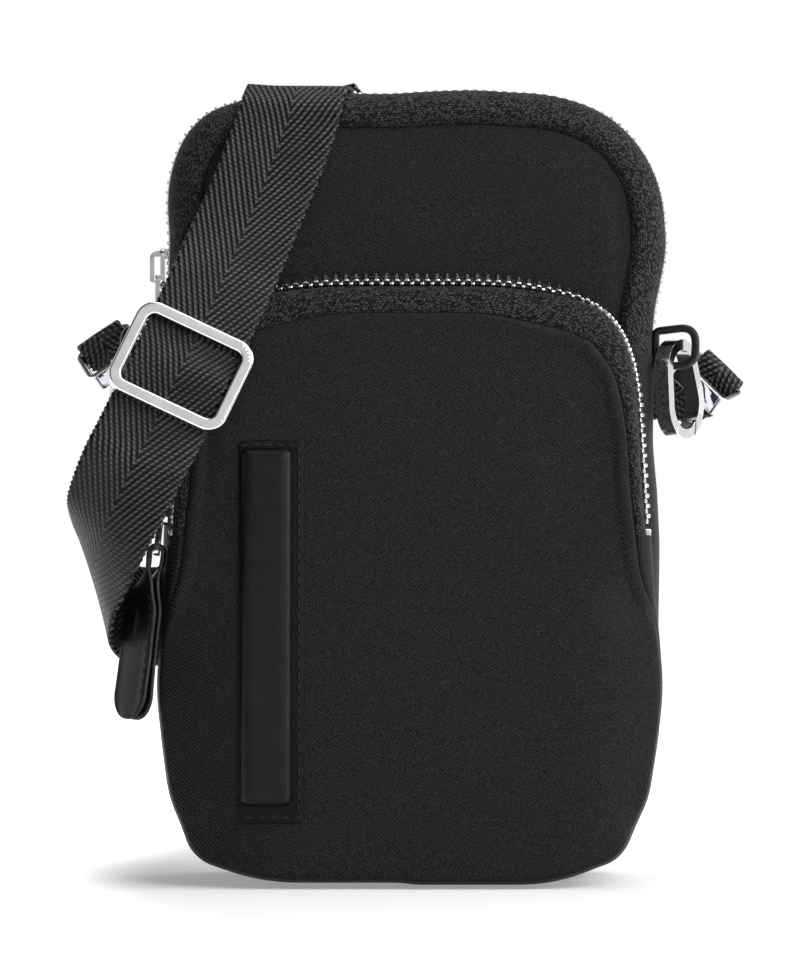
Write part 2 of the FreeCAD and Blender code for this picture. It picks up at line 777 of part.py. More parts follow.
def strap_end():
    """Strap end folded round the far bar of the eye, with its tail led behind the pouch."""
    bar_x = eye_start + eye_short - eye_wall / 2
    gap = eye_wall / 2 + 0.35
    high = eye_band / 2 + 0.4
    half = end_strap_width / 2
    outer = box((bar_x - gap - strap_thick, -half, -high - strap_thick),
                (bar_x + gap + strap_thick, half, high + strap_thick))
    fold = outer.cut(box((bar_x - gap, -far, -high), (bar_x + gap, far, high)))
    fold = turned(fold, V(0, 0, 0), X_AXIS, eye_roll)
    start = bar_x + gap + strap_thick / 2
    roll = math.radians(eye_roll)
    across = V(0, math.cos(roll), math.sin(roll))
    stations = [
        (V(start + 0.75, -0.5, 0.5), across),
        (V(start + 0.75, 1.5, -1.5), across),
        (V(start + 0.3, 3.6, -3.4), across),
        (V(start - 0.6, 6.0, -4.3), V(0.1, 0.5, 0.86)),
        (V(start - 2.5, 9.8, -4.2), V(0.05, 0.25, 0.97)),
        (V(start - 0.24 * tail_return, 0.27 * tail_reach, -3.0), V(0, 0.1, 0.99)),
        (V(start - 0.56 * tail_return, 0.54 * tail_reach, -1.0), Z_AXIS),
        (V(start - tail_return, tail_reach, 0), Z_AXIS),
    ]
    tail = ribbon(stations, end_strap_width - 0.4, end_strap_thick)
    return moved(fold.fuse(tail).removeSplitter(), V(0, 0, post_z))


def on_hook(shape, swing):
    """Takes a hook piece to its loop: swung in its own plane, then turned about the upright."""
    swung = turned(shape, V(0, 0, hook_top_z), Y_AXIS, -swing)
    return moved(turned(swung, V(0, 0, 0), Z_AXIS, hook_turn), V(hook_x, loop_y, 0))


loop = side_loop()
save("loop_right", loop)
save("loop_left", flipped(loop))
hook_pieces = (("hook", hook), ("gate", gate), ("eye", strap_eye()), ("strap_end", strap_end()))
for label, shape in hook_pieces:
    save(label + "_right", on_hook(shape, right_swing))
    save(label + "_left", flipped(on_hook(shape, left_swing)))

print("adjuster centre", adjuster_centre, "along the strap", run_down)
print("pocket pin", on_pocket_side(Part.Vertex(pin_point)).Point)
print("pocket bar", on_pocket_side(leaned(Part.Vertex(link_bar), pin_point)).Point)
print("main pin", main_place + pin_point)
for label, swing in (("right", right_swing), ("left", left_swing)):
    places = [on_hook(Part.Vertex(point), swing).Point
              for point in (V(0, 0, hook_top_z), V(eye_start, 0, post_z), V(head_start, 0, post_z),
                            gate_pivot, V(0, 0, hook_low_z))]
    print(label, "hook before mirroring: link, eye, head, gate, middle", places)
print("least gap between strap layers", hank_pitch - strap_thick)
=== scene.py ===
import math
import bmesh
import bpy
import numpy as np
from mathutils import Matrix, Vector


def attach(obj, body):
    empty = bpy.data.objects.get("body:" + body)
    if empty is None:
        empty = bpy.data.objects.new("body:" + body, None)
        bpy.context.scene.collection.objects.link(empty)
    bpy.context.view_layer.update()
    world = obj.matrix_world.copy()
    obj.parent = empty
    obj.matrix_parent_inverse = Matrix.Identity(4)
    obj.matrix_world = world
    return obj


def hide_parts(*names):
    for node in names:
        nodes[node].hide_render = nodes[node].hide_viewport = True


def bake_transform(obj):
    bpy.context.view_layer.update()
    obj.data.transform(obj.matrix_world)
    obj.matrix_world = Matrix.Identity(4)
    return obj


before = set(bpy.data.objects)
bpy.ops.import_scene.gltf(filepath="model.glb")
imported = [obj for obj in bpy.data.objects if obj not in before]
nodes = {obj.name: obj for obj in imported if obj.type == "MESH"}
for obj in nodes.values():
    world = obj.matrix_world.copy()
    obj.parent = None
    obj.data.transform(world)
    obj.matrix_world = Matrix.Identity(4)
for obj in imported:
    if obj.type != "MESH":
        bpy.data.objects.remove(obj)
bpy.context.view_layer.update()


def vec(*v):
    return np.array(v, float)


# Sizes in millimetres, as in the part's source.
FRONT_Y = -14.0
BACK_Y = 14.0
MAIN_ZIP_END = 130.0
POCKET_ZIP_END = 85.0
POCKET_TOP = 149.0
POCKET_BASE_Y = -35.0
POCKET_LEAN = 9.0 / POCKET_TOP
POCKET_ROUND = 5.0
LOWER = [(36.0, 0.0, 60.0), (53.5, 5.5, 11.0), (59.0, 21.0, 30.0), (62.0, 48.0, 60.0)]
MAIN = LOWER + [(60.5, 93.0, 60.0), (60.5, 195.0, 30.0)]
POCKET = LOWER + [(58.8, 88.0, 60.0), (56.6, 128.0, 30.0), (50.0, 143.5, 14.0), (26.0, POCKET_TOP, 60.0)]
STRAP_WIDTH = 25.0
STRAP_THICK = 1.6
STRAP_LEAN = math.radians(25.2)
ADJUSTER = vec(-55.7, -35.589, 126.0)
RUN_DOWN = vec(-0.408855, -0.279141, -0.86886)
RUN_ACROSS = vec(math.cos(STRAP_LEAN), 0.0, -math.sin(STRAP_LEAN))
TOOTH_PITCH = 2.5

# Sizes that only the visual has.
MAIN_MIDDLE = 98.0
POCKET_MIDDLE = 72.0
ZIP_GAP = 0.15
ZIP_OVERLAP = 1.2
FIRST_TOOTH = 1.0
TOOTH_CLEARANCE = 2.8
RIB_PITCH = 1.35
SPLINE_STEPS = 24
ARC_STEPS = 16


# Mesh helpers.
def unit(v):
    v = np.asarray(v, float)
    return v / np.linalg.norm(v, axis=-1, keepdims=True)


def lengths(line):
    """Distance of each point along a line from its start."""
    return np.concatenate([[0], np.cumsum(np.linalg.norm(np.diff(line, axis=0), axis=1))])


def read_at(values, along, at):
    """Values that go with distances along a line, read at other distances."""
    return np.stack([np.interp(at, along, values[:, k]) for k in range(values.shape[1])], axis=-1)


def resampled(line, count):
    along = lengths(line)
    return read_at(line, along, np.linspace(0, along[-1], count))


def spline(points, count):
    """Catmull-Rom line through the points, at evenly spaced lengths."""
    p = np.asarray(points, float)
    p = np.vstack([2 * p[0] - p[1], p, 2 * p[-1] - p[-2]])
    t = np.linspace(0, 1, SPLINE_STEPS, endpoint=False)[:, None]
    runs = []
    for a, b, c, d in zip(p, p[1:], p[2:], p[3:]):
        runs.append(0.5 * (2 * b + (c - a) * t + (2 * a - 5 * b + 4 * c - d) * t ** 2
                           + (3 * b - a - 3 * c + d) * t ** 3))
    return resampled(np.vstack(runs + [p[-2:-1]]), count)


def linked(name, data):
    piece = bpy.data.objects.new(name, data)
    bpy.context.scene.collection.objects.link(piece)
    return piece


def make(name, points, faces, material, body="pouch", replaces=(), slot=None, uv=None, smooth=True):
    """Mesh object from points in millimetres, riding on a body unless it is to blend across a joint."""
    mesh = bpy.data.meshes.new(name)
    mesh.from_pydata((np.asarray(points, float) / 1000).tolist(), [], [list(map(int, f)) for f in faces])
    if uv is not None:
        layer = mesh.uv_layers.new(name="uv")
        corner = np.zeros(len(mesh.loops), int)
        mesh.loops.foreach_get("vertex_index", corner)
        layer.data.foreach_set("uv", np.asarray(uv, float)[corner].ravel())
    mesh.validate()
    bm = bmesh.new()
    bm.from_mesh(mesh)
    bmesh.ops.recalc_face_normals(bm, faces=bm.faces)
    bm.to_mesh(mesh)
    bm.free()
    for polygon in mesh.polygons:
        polygon.use_smooth = smooth
    mesh.materials.append(material)
    piece = linked(name, mesh)
    if body:
        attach(piece, body)
    if replaces:
        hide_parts(*replaces)
    return piece


def grid(rows, cols, wrap_rows=False, wrap_cols=False):
    """Faces between rows of points, closed round where asked."""
    faces = []
    for i in range(rows if wrap_rows else rows - 1):
        for j in range(cols if wrap_cols else cols - 1):
            k = (i + 1) % rows
            m = (j + 1) % cols
            faces.append((i * cols + j, i * cols + m, k * cols + m, k * cols + j))
    return faces


def tube(rows, cols):
    """Faces of a tube of rings, with both its ends."""
    ends = [tuple(range(cols)), tuple(range((rows - 1) * cols, rows * cols))]
    return grid(rows, cols, wrap_cols=True) + ends


def fan(first, count, tip):
    """Faces from a ring of points to one tip."""
    return [(first + j, first + (j + 1) % count, tip) for j in range(count)]


def band(name, rows, material, **options):
    """Open surface from rows of points, with its lengths in millimetres as UV."""
    n, k, _ = rows.shape
    across = np.stack([lengths(row) for row in rows])
    along = lengths(rows[:, k // 2])
    uv = np.stack(np.broadcast_arrays(across, along[:, None]), axis=2).reshape(-1, 2)
    return make(name, rows.reshape(-1, 3), grid(n, k), material, uv=uv, **options)


def rounded(half, spacing):
    """Rounded outline from the middle of the base round to it again, with outward normals."""
    corners = half + [(-x, z, r) for x, z, r in reversed(half)]
    count = len(corners)
    line = [np.zeros(2)]
    for i, (x, z, radius) in enumerate(corners):
        p = vec(x, z)
        back = vec(*corners[i - 1][:2]) - p
        ahead = vec(*corners[(i + 1) % count][:2]) - p
        room = 0.49 * min(np.linalg.norm(back), np.linalg.norm(ahead))
        back = unit(back)
        ahead = unit(ahead)
        half_angle = math.acos(max(-1.0, min(1.0, float(back @ ahead)))) / 2
        reach = min(radius / math.tan(half_angle), room)
        r = reach * math.tan(half_angle)
        centre = p + unit(back + ahead) * r / math.sin(half_angle)
        first = p + back * reach - centre
        last = p + ahead * reach - centre
        start = math.atan2(first[1], first[0])
        turn = (math.atan2(last[1], last[0]) - start + math.pi) % (2 * math.pi) - math.pi
        for k in range(ARC_STEPS + 1):
            angle = start + turn * k / ARC_STEPS
            line.append(centre + r * vec(math.cos(angle), math.sin(angle)))
    line = np.array(line + [np.zeros(2)])
    line = resampled(line, int(lengths(line)[-1] / spacing))[:-1]
    tangent = unit(np.roll(line, -1, axis=0) - np.roll(line, 1, axis=0))
    return line, np.stack([tangent[:, 1], -tangent[:, 0]], axis=1)


def carried(path, normal, offset, y):
    """Points of a path moved out by offsets, at depths y; each row of the result follows one profile."""
    x = path[:, 0:1] + normal[:, 0:1] * offset
    z = path[:, 1:2] + normal[:, 1:2] * offset
    return np.stack([x, np.broadcast_to(y, x.shape), z], axis=2)


def outline_at(path, normal, offset, y=0.0):
    """One ring of points: a path moved out by an offset, at one depth."""
    return carried(path, normal, offset, y)[:, 0]


def eased(values, rounds):
    """Values round a closed path, averaged with their neighbours."""
    for _ in range(rounds):
        values = (np.roll(values, 1, axis=0) + 2 * values + np.roll(values, -1, axis=0)) / 4
    return values


def smooth_step(value, start, length):
    """0 up to the start, 1 after the length, and smooth between."""
    t = np.clip((value - start) / length, 0, 1)
    return t * t * (3 - 2 * t)


def ripple(x, z):
    """Slack in the cloth: long soft waves, without a seam or a period that shows."""
    return (0.5 * np.sin(x / 17.0 + 1.3 * np.sin(z / 31.0)) + 0.35 * np.sin(z / 23.0 - x / 41.0 + 0.7)
            + 0.25 * np.sin((x + z) / 11.0 + np.sin(x / 19.0)))


def dome(x, z, half_wide, middle, half_tall):
    """1 in the middle of a panel, and 0 at its sides and ends."""
    return np.clip(1 - (x / half_wide) ** 2, 0, 1) * np.clip(1 - ((z - middle) / half_tall) ** 4, 0, 1)


def joined(template, template_faces, places):
    """Copies of a template at (origin, x axis, y axis, z axis) places, as one mesh."""
    points = []
    faces = []
    for origin, x, y, z in places:
        start = len(points) * len(template)
        points.append(origin + template @ np.stack([x, y, z]))
        faces += [[start + i for i in f] for f in template_faces]
    return np.vstack(points), faces


def about(points, centre, axis, degrees):
    """Points turned about an axis through a centre."""
    axis = unit(axis)
    rel = np.asarray(points, float) - centre
    turn = math.radians(degrees)
    return (centre + rel * math.cos(turn) + np.cross(axis, rel) * math.sin(turn)
            + axis * (rel @ axis)[:, None] * (1 - math.cos(turn)))


# Materials. Lengths in them are in metres, or in millimetres where they come from UV.
def new_material(name, build, *values, **options):
    """Material whose node tree a function builds."""
    material = bpy.data.materials.new(name)
    material.use_nodes = True
    build(material.node_tree, *values, **options)
    return material


def feed(tree, socket, value):
    """Links a socket to another one, or sets a plain value on it."""
    if isinstance(value, bpy.types.NodeSocket):
        tree.links.new(value, socket)
    else:
        socket.default_value = value


def add_node(tree, kind, inputs, **settings):
    node = tree.nodes.new("ShaderNode" + kind)
    for name, value in settings.items():
        setattr(node, name, value)
    for key, value in inputs.items():
        feed(tree, node.inputs[key], value)
    return node


def calc(tree, operation, *values):
    return add_node(tree, "Math", dict(enumerate(values)), operation=operation).outputs[0]


def times(tree, first, second):
    return calc(tree, "MULTIPLY", first, second)


def coordinate(tree, source="Object"):
    return tree.nodes.new("ShaderNodeTexCoord").outputs[source]


def axes(tree, vector):
    return add_node(tree, "SeparateXYZ", {0: vector}).outputs[:3]


def wave(tree, length, pitch=None):
    """Sine from 0 to 1 along a length, a turn to each pitch; without a pitch, the length is in turns."""
    turns = times(tree, length, 1 / pitch) if pitch else length
    return calc(tree, "MULTIPLY_ADD", calc(tree, "SINE", times(tree, turns, 2 * math.pi)), 0.5, 0.5)


def noise(tree, vector, scale, detail):
    inputs = {"Vector": vector, "Scale": scale, "Detail": detail}
    return add_node(tree, "TexNoise", inputs).outputs["Fac"]


def ramp(tree, factor, low, high, start=0.0, end=1.0):
    """Colour from low to high as a factor goes from start to end."""
    node = add_node(tree, "ValToRGB", {0: factor})
    for element, position, colour in zip(node.color_ramp.elements, (start, end), (low, high)):
        element.position = position
        element.color = (*colour, 1)
    return node.outputs[0]


def span(tree, factor, low, high, start=0.0, end=1.0):
    """Value from low to high as a factor goes from start to end."""
    inputs = {"Value": factor, "From Min": start, "From Max": end, "To Min": low, "To Max": high}
    return add_node(tree, "MapRange", inputs).outputs[0]


def pair(tree, first, share, second, other):
    """Sum of two values, each times its share."""
    return calc(tree, "MULTIPLY_ADD", first, share, times(tree, second, other))


def blended(tree, factor, first, second):
    """Colour between two linked colours."""
    node = add_node(tree, "Mix", {"Factor": factor, "A": first, "B": second}, data_type="RGBA")
    return next(socket for socket in node.outputs if socket.type == "RGBA")


def surface(tree, colour, roughness, height, strength, distance, specular=0.5, sheen=0.0, metallic=0.0):
    """Colour, roughness, relief and gloss of a material, with the sheen of cloth where one is given."""
    relief = add_node(tree, "Bump", {"Strength": strength, "Distance": distance, "Height": height})
    inputs = {"Base Color": colour, "Roughness": roughness, "Normal": relief.outputs[0],
              "Specular IOR Level": specular, "Metallic": metallic}
    if sheen:
        inputs |= {"Sheen Weight": sheen, "Sheen Roughness": 0.4, "Sheen Tint": (0.85, 0.93, 1.0, 1)}
    for name, value in inputs.items():
        feed(tree, tree.nodes["Principled BSDF"].inputs[name], value)


def twill(tree):
    """Fine diagonal weave, cooler and greyer in soft random areas: a painted sheen."""
    slant, line_pitch, cross_pitch = 0.62, 0.00068, 0.0009
    dark, light = 0.49, 1.0
    vector = coordinate(tree)
    x, y, z = axes(tree, vector)
    side = calc(tree, "ADD", x, y)
    line = calc(tree, "ADD", side, times(tree, z, slant))
    cross = calc(tree, "SUBTRACT", z, times(tree, side, slant))
    height = pair(tree, wave(tree, line, line_pitch), 0.75, wave(tree, cross, cross_pitch), 0.25)
    sheen_patches = noise(tree, vector, 16.0, 2.0)
    fibres = noise(tree, vector, 2600.0, 1.0)
    tone = pair(tree, height, 0.5, fibres, 0.95)
    neutral = ramp(tree, tone, (0.0010, 0.0010, 0.0010), (0.0335, 0.0335, 0.0335), dark, light)
    cool = ramp(tree, tone, (0.0012, 0.0018, 0.0018), (0.0320, 0.0360, 0.0360), dark, light)
    # Soft random areas blend in a cooler, greyer tone: a painted sheen.
    colour = blended(tree, span(tree, sheen_patches, -0.9, 1.4), neutral, cool)
    surface(tree, colour, span(tree, sheen_patches, 0.42, 0.56), height, 0.35, 0.00012, specular=0.09, sheen=0.03)


def knit(tree):
    """Zip tape: slanting rows of small knitted loops, from its lengths along and across."""
    loop_wide, loop_long, slant = 0.62, 0.85, 0.6
    u, v, _ = axes(tree, coordinate(tree, "UV"))
    slanted = calc(tree, "ADD", v, times(tree, u, slant))
    scaled = {0: times(tree, u, 1 / loop_wide), 1: times(tree, slanted, 1 / loop_long)}
    place = add_node(tree, "CombineXYZ", scaled)
    cells = add_node(tree, "TexVoronoi", {"Vector": place.outputs[0], "Scale": 1.0, "Randomness": 0.55})
    loops = calc(tree, "SUBTRACT", 1.0, times(tree, cells.outputs["Distance"], 1.35))
    fuzz = noise(tree, coordinate(tree), 2300.0, 2.0)
    height = pair(tree, loops, 0.75, fuzz, 0.4)
    colour = ramp(tree, height, (0.0028, 0.0028, 0.0028), (0.118, 0.117, 0.120), 0.34, 1.0)
    surface(tree, colour, span(tree, fuzz, 0.6, 0.8), height, 0.8, 0.0005, specular=0.12, sheen=0.04)


def webbing(tree):
    """Herringbone: corded ribs that lean to the middle line of the strap from both sides, with rib crests
    and strands lighter and grooves darker in colour: a painted highlight and painted shade.
    """
    lean = math.radians(27)
    strand_pitch = 1.25
    u, v, _ = axes(tree, coordinate(tree, "UV"))
    out = calc(tree, "ABSOLUTE", u)
    across = pair(tree, v, math.sin(lean), out, math.cos(lean))
    down = pair(tree, v, math.cos(lean), out, -math.sin(lean))
    rib = wave(tree, across, RIB_PITCH)
    strand = wave(tree, pair(tree, down, 1 / strand_pitch, across, 0.6))
    vector = coordinate(tree)
    worn = noise(tree, vector, 120.0, 3.0)
    fibres = noise(tree, vector, 2600.0, 2.0)
    # The colour follows the ribs and strands: a painted highlight on crests and strands, and painted shade
    # in the grooves.
    cord_relief_and_highlight = times(tree, calc(tree, "POWER", rib, 1.3), span(tree, strand, 0.35, 1.0))
    tone = times(tree, cord_relief_and_highlight, pair(tree, worn, 0.9, fibres, 0.9))
    colour = ramp(tree, tone, (0.0010, 0.0010, 0.0016), (0.150, 0.149, 0.160), 0.08, 0.95)
    surface(tree, colour, span(tree, strand, 0.5, 0.36), cord_relief_and_highlight, 0.9, 0.0006, specular=0.2, sheen=0.02)


def leather(tree, low, high, rough_low, rough_high, strength, specular=0.2):
    """Fine grain of small cells, a little lighter where it is worn."""
    vector = coordinate(tree)
    cells = add_node(tree, "TexVoronoi", {"Vector": vector, "Scale": 1500.0}, feature="DISTANCE_TO_EDGE")
    grain = calc(tree, "MINIMUM", times(tree, cells.outputs["Distance"], 6.0), 1.0)
    worn = noise(tree, vector, 260.0, 4.0)
    surface(tree, ramp(tree, worn, low, high, 0.3, 0.75), span(tree, worn, rough_low, rough_high),
            pair(tree, grain, 0.6, worn, 0.6), strength, 0.00012, specular)


def metal(tree, colour, rough_low, rough_high):
    """Polished metal, slightly clouded."""
    vector = coordinate(tree)
    cloud = noise(tree, vector, 320.0, 3.0)
    fine = noise(tree, vector, 2600.0, 2.0)
    surface(tree, ramp(tree, cloud, tuple(0.9 * c for c in colour), colour, 0.3, 0.7),
            span(tree, cloud, rough_low, rough_high), fine, 0.05, 0.00005, metallic=1.0)


def thread(tree):
    """Twisted sewing thread."""
    x, y, z = axes(tree, coordinate(tree))
    ply = wave(tree, calc(tree, "ADD", calc(tree, "ADD", x, y), z), 0.0005)
    colour = ramp(tree, ply, (0.002, 0.002, 0.002), (0.018, 0.018, 0.0185))
    surface(tree, colour, 0.6, ply, 0.5, 0.0001, specular=0.22, sheen=0.06)


def lining_weave(tree):
    """Plain weave of the linings."""
    pitch = 0.0006
    x, y, z = axes(tree, coordinate(tree))
    weave = times(tree, wave(tree, calc(tree, "ADD", x, y), pitch), wave(tree, z, pitch))
    colour = ramp(tree, weave, (0.02, 0.02, 0.022), (0.04, 0.04, 0.043))
    surface(tree, colour, 0.55, weave, 0.3, 0.0001, specular=0.3, sheen=0.1)


TWILL = new_material("twill", twill)
KNIT = new_material("knit_tape", knit)
WEBBING = new_material("herringbone_webbing", webbing)
LEATHER = new_material("satin_leather", leather, (0.0030, 0.0035, 0.0037), (0.0072, 0.0082, 0.0086),
                       0.28, 0.42, strength=0.3)
PATCH_LEATHER = new_material("matt_leather", leather, (0.0036, 0.0036, 0.0036), (0.0074, 0.0074, 0.0075),
                             0.5, 0.66, strength=0.5, specular=0.14)
EDGE_PAINT = new_material("painted_edge", leather, (0.030, 0.031, 0.034), (0.075, 0.077, 0.082),
                          0.4, 0.6, strength=0.4)
POLISHED = new_material("polished_nickel", metal, (0.74, 0.74, 0.76), 0.08, 0.15)
ZIP_METAL = new_material("zip_silver", metal, (0.76, 0.76, 0.77), 0.16, 0.26)
THREAD = new_material("thread", thread)
LINING = new_material("lining_weave", lining_weave)


# Outlines. The soft ones leave the flat pattern: full at the upper corners, slack by the left slider.
def swayed(path, normal, right, left, top):
    """Outline moved out by (height, distance) tables for its sides, and (x, distance) for its top."""
    sides = np.where(path[:, 0] >= 0, np.interp(path[:, 1], *zip(*right)),
                     np.interp(path[:, 1], *zip(*left)))
    share = smooth_step(normal[:, 1], 0.75, 0.25)
    sway = sides * (1 - share) + np.interp(path[:, 0], *zip(*top)) * share
    return path + normal * eased(sway, 4)[:, None]


def at_zip(path, zip_end):
    """Places of an outline along its zip, and along the gusset, which laps under the zip's ends."""
    x, z = path.T
    low = z < zip_end + ZIP_OVERLAP
    below = np.concatenate([np.where((x < 0) & low)[0], np.where((x >= 0) & low)[0]])
    return np.where(z > zip_end + ZIP_GAP)[0], below


def open_share(z, zip_end):
    """0 where the two tapes of a zip meet at its end, 1 where the chain parts them."""
    return smooth_step(z - zip_end, 0.2, 4.0)


SHARES = np.concatenate([np.linspace(0.99, 0.86, 9), np.linspace(0.83, 0.06, 24)])


def polar(edge_rings, middle, depth):
    """Rings at the edge, closed to a middle height; depth(x, z, share) gives y of the inner ones."""
    rings = list(edge_rings)
    last = rings[-1]
    for share in SHARES:
        ring = np.empty_like(last)
        ring[:, 0] = last[:, 0] * share
        ring[:, 2] = middle + (last[:, 2] - middle) * share
        ring[:, 1] = depth(ring[:, 0], ring[:, 2], share)
        rings.append(ring)
    tip = vec(0.0, depth(vec(0.0), vec(middle), 0.0)[0], middle)
    n = len(last)
    faces = grid(len(rings), n, wrap_cols=True) + fan((len(rings) - 1) * n, n, len(rings) * n)
    return np.vstack(rings + [tip]), faces


# Main compartment.
main_path, main_normal = rounded(MAIN, 1.2)
MAIN_RIGHT = [(20, 0), (60, 0.3), (83, 1.4), (95, 1.2), (108, 0.0), (120, 0.2), (129, 0.6),
              (131, 0.0), (137, 0.2), (143, 0.9), (147, 1.9), (154, 3.2), (158, 3.6), (165, 3.1),
              (177, 2.2), (186, 1.5), (195, 0.8)]
MAIN_LEFT = [(20, 0), (60, 0.2), (87, 0.5), (109, -0.3), (129, 0.4), (150, -0.4), (160, -0.6), (169, 0.1),
             (177, 1.2), (184, 2.4), (190, 2.6), (195, 1.2)]
MAIN_TOP = [(-40, 0.8), (-5, 0.5), (6, 1.2), (16, 1.5), (26, 0.9), (36, 0.4), (45, 0.6)]
main_path = swayed(main_path, main_normal, MAIN_RIGHT, MAIN_LEFT, MAIN_TOP)
zipped, below_zip = at_zip(main_path, MAIN_ZIP_END)
TAPE_PROFILE = spline([(-9.3, 12.2), (-8.5, 13.8), (-7.2, 14.6), (-5.2, 14.3), (-3.0, 13.0), (-1.3, 10.8),
                       (-0.35, 7.8), (-0.15, 5.0), (-0.35, 3.1), (-1.3, 2.8)], 26)
GUSSET_HALF = [(-9.3, 12.2), (-8.5, 13.8), (-7.2, 14.5), (-5.2, 14.0), (-3.0, 12.6), (-1.2, 10.2),
               (-0.1, 7.0), (0.3, 3.5), (0.4, 0.0)]
GUSSET_PROFILE = spline(GUSSET_HALF + [(o, -y) for o, y in reversed(GUSSET_HALF[:-1])], 48)
SIDES = (("front", -1), ("back", 1))


def main_band(rows, profile, sign, closed=False):
    """Rows of a tape or gusset along the outline; a closed tape meets the other at the zip's ends."""
    y = np.repeat(profile[None, :, 1], len(rows), axis=0)
    if closed:
        inner = np.clip((7.8 - y) / 4.7, 0, 1) * (1 - open_share(main_path[rows, 1], MAIN_ZIP_END))[:, None]
        y = y - inner * (y - 0.05)
    return carried(main_path[rows], main_normal[rows], profile[None, :, 0], sign * y)


def main_panel(label, sign):
    """Cloth of one side, rolled back into the groove beside the tape."""
    def depth(x, z, share):
        full = dome(x, z, 52.0, MAIN_MIDDLE, 90.0)
        edge = np.clip((1 - share) / 0.13, 0, 1)
        return sign * (13.4 + 0.8 * np.sin(edge * math.pi / 2) + 0.9 * full + 0.5 * ripple(x, z) * full)

    edge = [outline_at(main_path, main_normal, offset, sign * y)
            for offset, y in ((-8.0, 11.2), (-8.4, 12.2), (-8.9, 12.9), (-9.5, 13.3))]
    make(label + "_panel_cloth", *polar(edge, MAIN_MIDDLE, depth), TWILL, replaces=[label + "_panel"],
         slot="shell_fabric")


for label, sign in SIDES:
    band("main_tape_" + label + "_cloth", main_band(zipped, TAPE_PROFILE, sign, closed=True), KNIT,
         replaces=["main_tape_" + label], slot="zip_tape")
band("side_gusset_cloth", main_band(below_zip, GUSSET_PROFILE, 1), TWILL,
     replaces=["side_gusset"], slot="shell_fabric")
for label, sign in SIDES:
    main_panel(label, sign)

# Front pocket.
pocket_path, pocket_normal = rounded(POCKET, 1.1)
POCKET_RIGHT = [(0, -0.8), (3, -1.6), (8, -1.8), (14, -1.4), (23, -0.6), (35, 0.0), (149, 0.0)]
POCKET_LEFT = [(0, -1.3), (4, -1.3), (8, -1.0), (15, -0.9), (25, -0.2), (35, 0.0), (149, 0.0)]
pocket_path = swayed(pocket_path, pocket_normal, POCKET_RIGHT, POCKET_LEFT, [(-40, 0.0), (40, 0.0)])
upper = smooth_step(pocket_path[:, 1:2], 100.0, 25.0)
pocket_path = pocket_path * (1 - upper) + eased(pocket_path, 60) * upper
pocket_x, pocket_z = pocket_path.T
pocket_zipped, pocket_below = at_zip(pocket_path, POCKET_ZIP_END)

# Soft dents (positive) and swellings of the pocket front: x, z, reach along x and z, depth.
CREASES = [(55.0, 70.0, 6.0, 7.0, 1.2), (57.0, 53.0, 6.0, 11.0, -0.5), (55.5, 13.0, 2.6, 8.0, 1.2),
           (-54.0, 62.0, 7.0, 10.0, 0.6), (-50.0, 12.0, 5.0, 7.0, 0.5), (44.0, 100.0, 9.0, 14.0, 0.35)]
# Half width of the pocket by height, wider at the base than its corner there, and how its edges roll back.
EDGE_X = [50.0] + [x for x, _, _ in POCKET[1:]]
EDGE_Z = [z for _, z, _ in POCKET]
EDGE_ROLL = 21.0
EDGE_BACK = 4.2


def pocket_y(x, z, share=0.0):
    """Depth of the pocket front; the share that polar gives isn't needed."""
    near = np.clip((np.abs(x) - np.interp(z, EDGE_Z, EDGE_X) + EDGE_ROLL) / EDGE_ROLL, 0, 1.2)
    back = EDGE_BACK * near ** 2 * smooth_step(92.0 - z, 0.0, 40.0)
    for x0, z0, reach_x, reach_z, deep in CREASES:
        back = back + deep * np.exp(-((x - x0) / reach_x) ** 2 - ((z - z0) / reach_z) ** 2)
    bulge = dome(x, z, 56.0, POCKET_MIDDLE, 76.0) * (1.3 + 0.25 * ripple(x + 40.0, z))
    return POCKET_BASE_Y + POCKET_LEAN * z - bulge + back


def on_pocket(offset, depth):
    """Rows of (offset from the outline, depth behind the leaning front) round the pocket."""
    rows = carried(pocket_path, pocket_normal, offset, 0.0)
    rows[:, :, 1] = pocket_y(rows[:, :, 0], rows[:, :, 2]) + depth
    return rows


# Place of the front seam along the pocket's section, by height: 0 where the round corner starts.
SEAM = [(0.0, 8.6), (30.0, 9.3), (58.0, 9.0), (65.0, 7.8), (69.0, 4.0), (77.0, 1.7), (87.0, 1.4),
        (98.0, 0.8), (111.0, 0.8), (120.0, -0.2), (128.0, -1.2), (137.0, -3.6), (142.0, -4.4),
        (146.0, -4.8), (148.2, -4.6), (149.0, -3.6)]
seam = eased(np.interp(pocket_z, *zip(*SEAM)), 6)[:, None]
QUARTER = POCKET_ROUND * math.pi / 2


def section(place, lift=0.0):
    """(offset, depth) at a place along the pocket's section, lifted out: flat front, round corner, side."""
    turn = np.clip(place, 0, QUARTER) / POCKET_ROUND
    offset = -POCKET_ROUND + np.minimum(place, 0) + POCKET_ROUND * np.sin(turn)
    depth = POCKET_ROUND * (1 - np.cos(turn)) + np.maximum(place - QUARTER, 0)
    return offset + lift * np.sin(turn), depth - lift * np.cos(turn)


# Edge of the front panel from the seam inwards: step and lift.
PANEL_EDGE = np.array([(-0.5, -1.5), (0.0, -0.5), (0.45, 0.15), (1.1, 0.4), (2.0, 0.42), (3.2, 0.36)])
panel_rings = on_pocket(*section(seam - PANEL_EDGE[:, 0], PANEL_EDGE[:, 1]))
make("pocket_panel_cloth", *polar(panel_rings.swapaxes(0, 1), POCKET_MIDDLE, pocket_y), TWILL,
     replaces=["pocket_panel"], slot="shell_fabric")

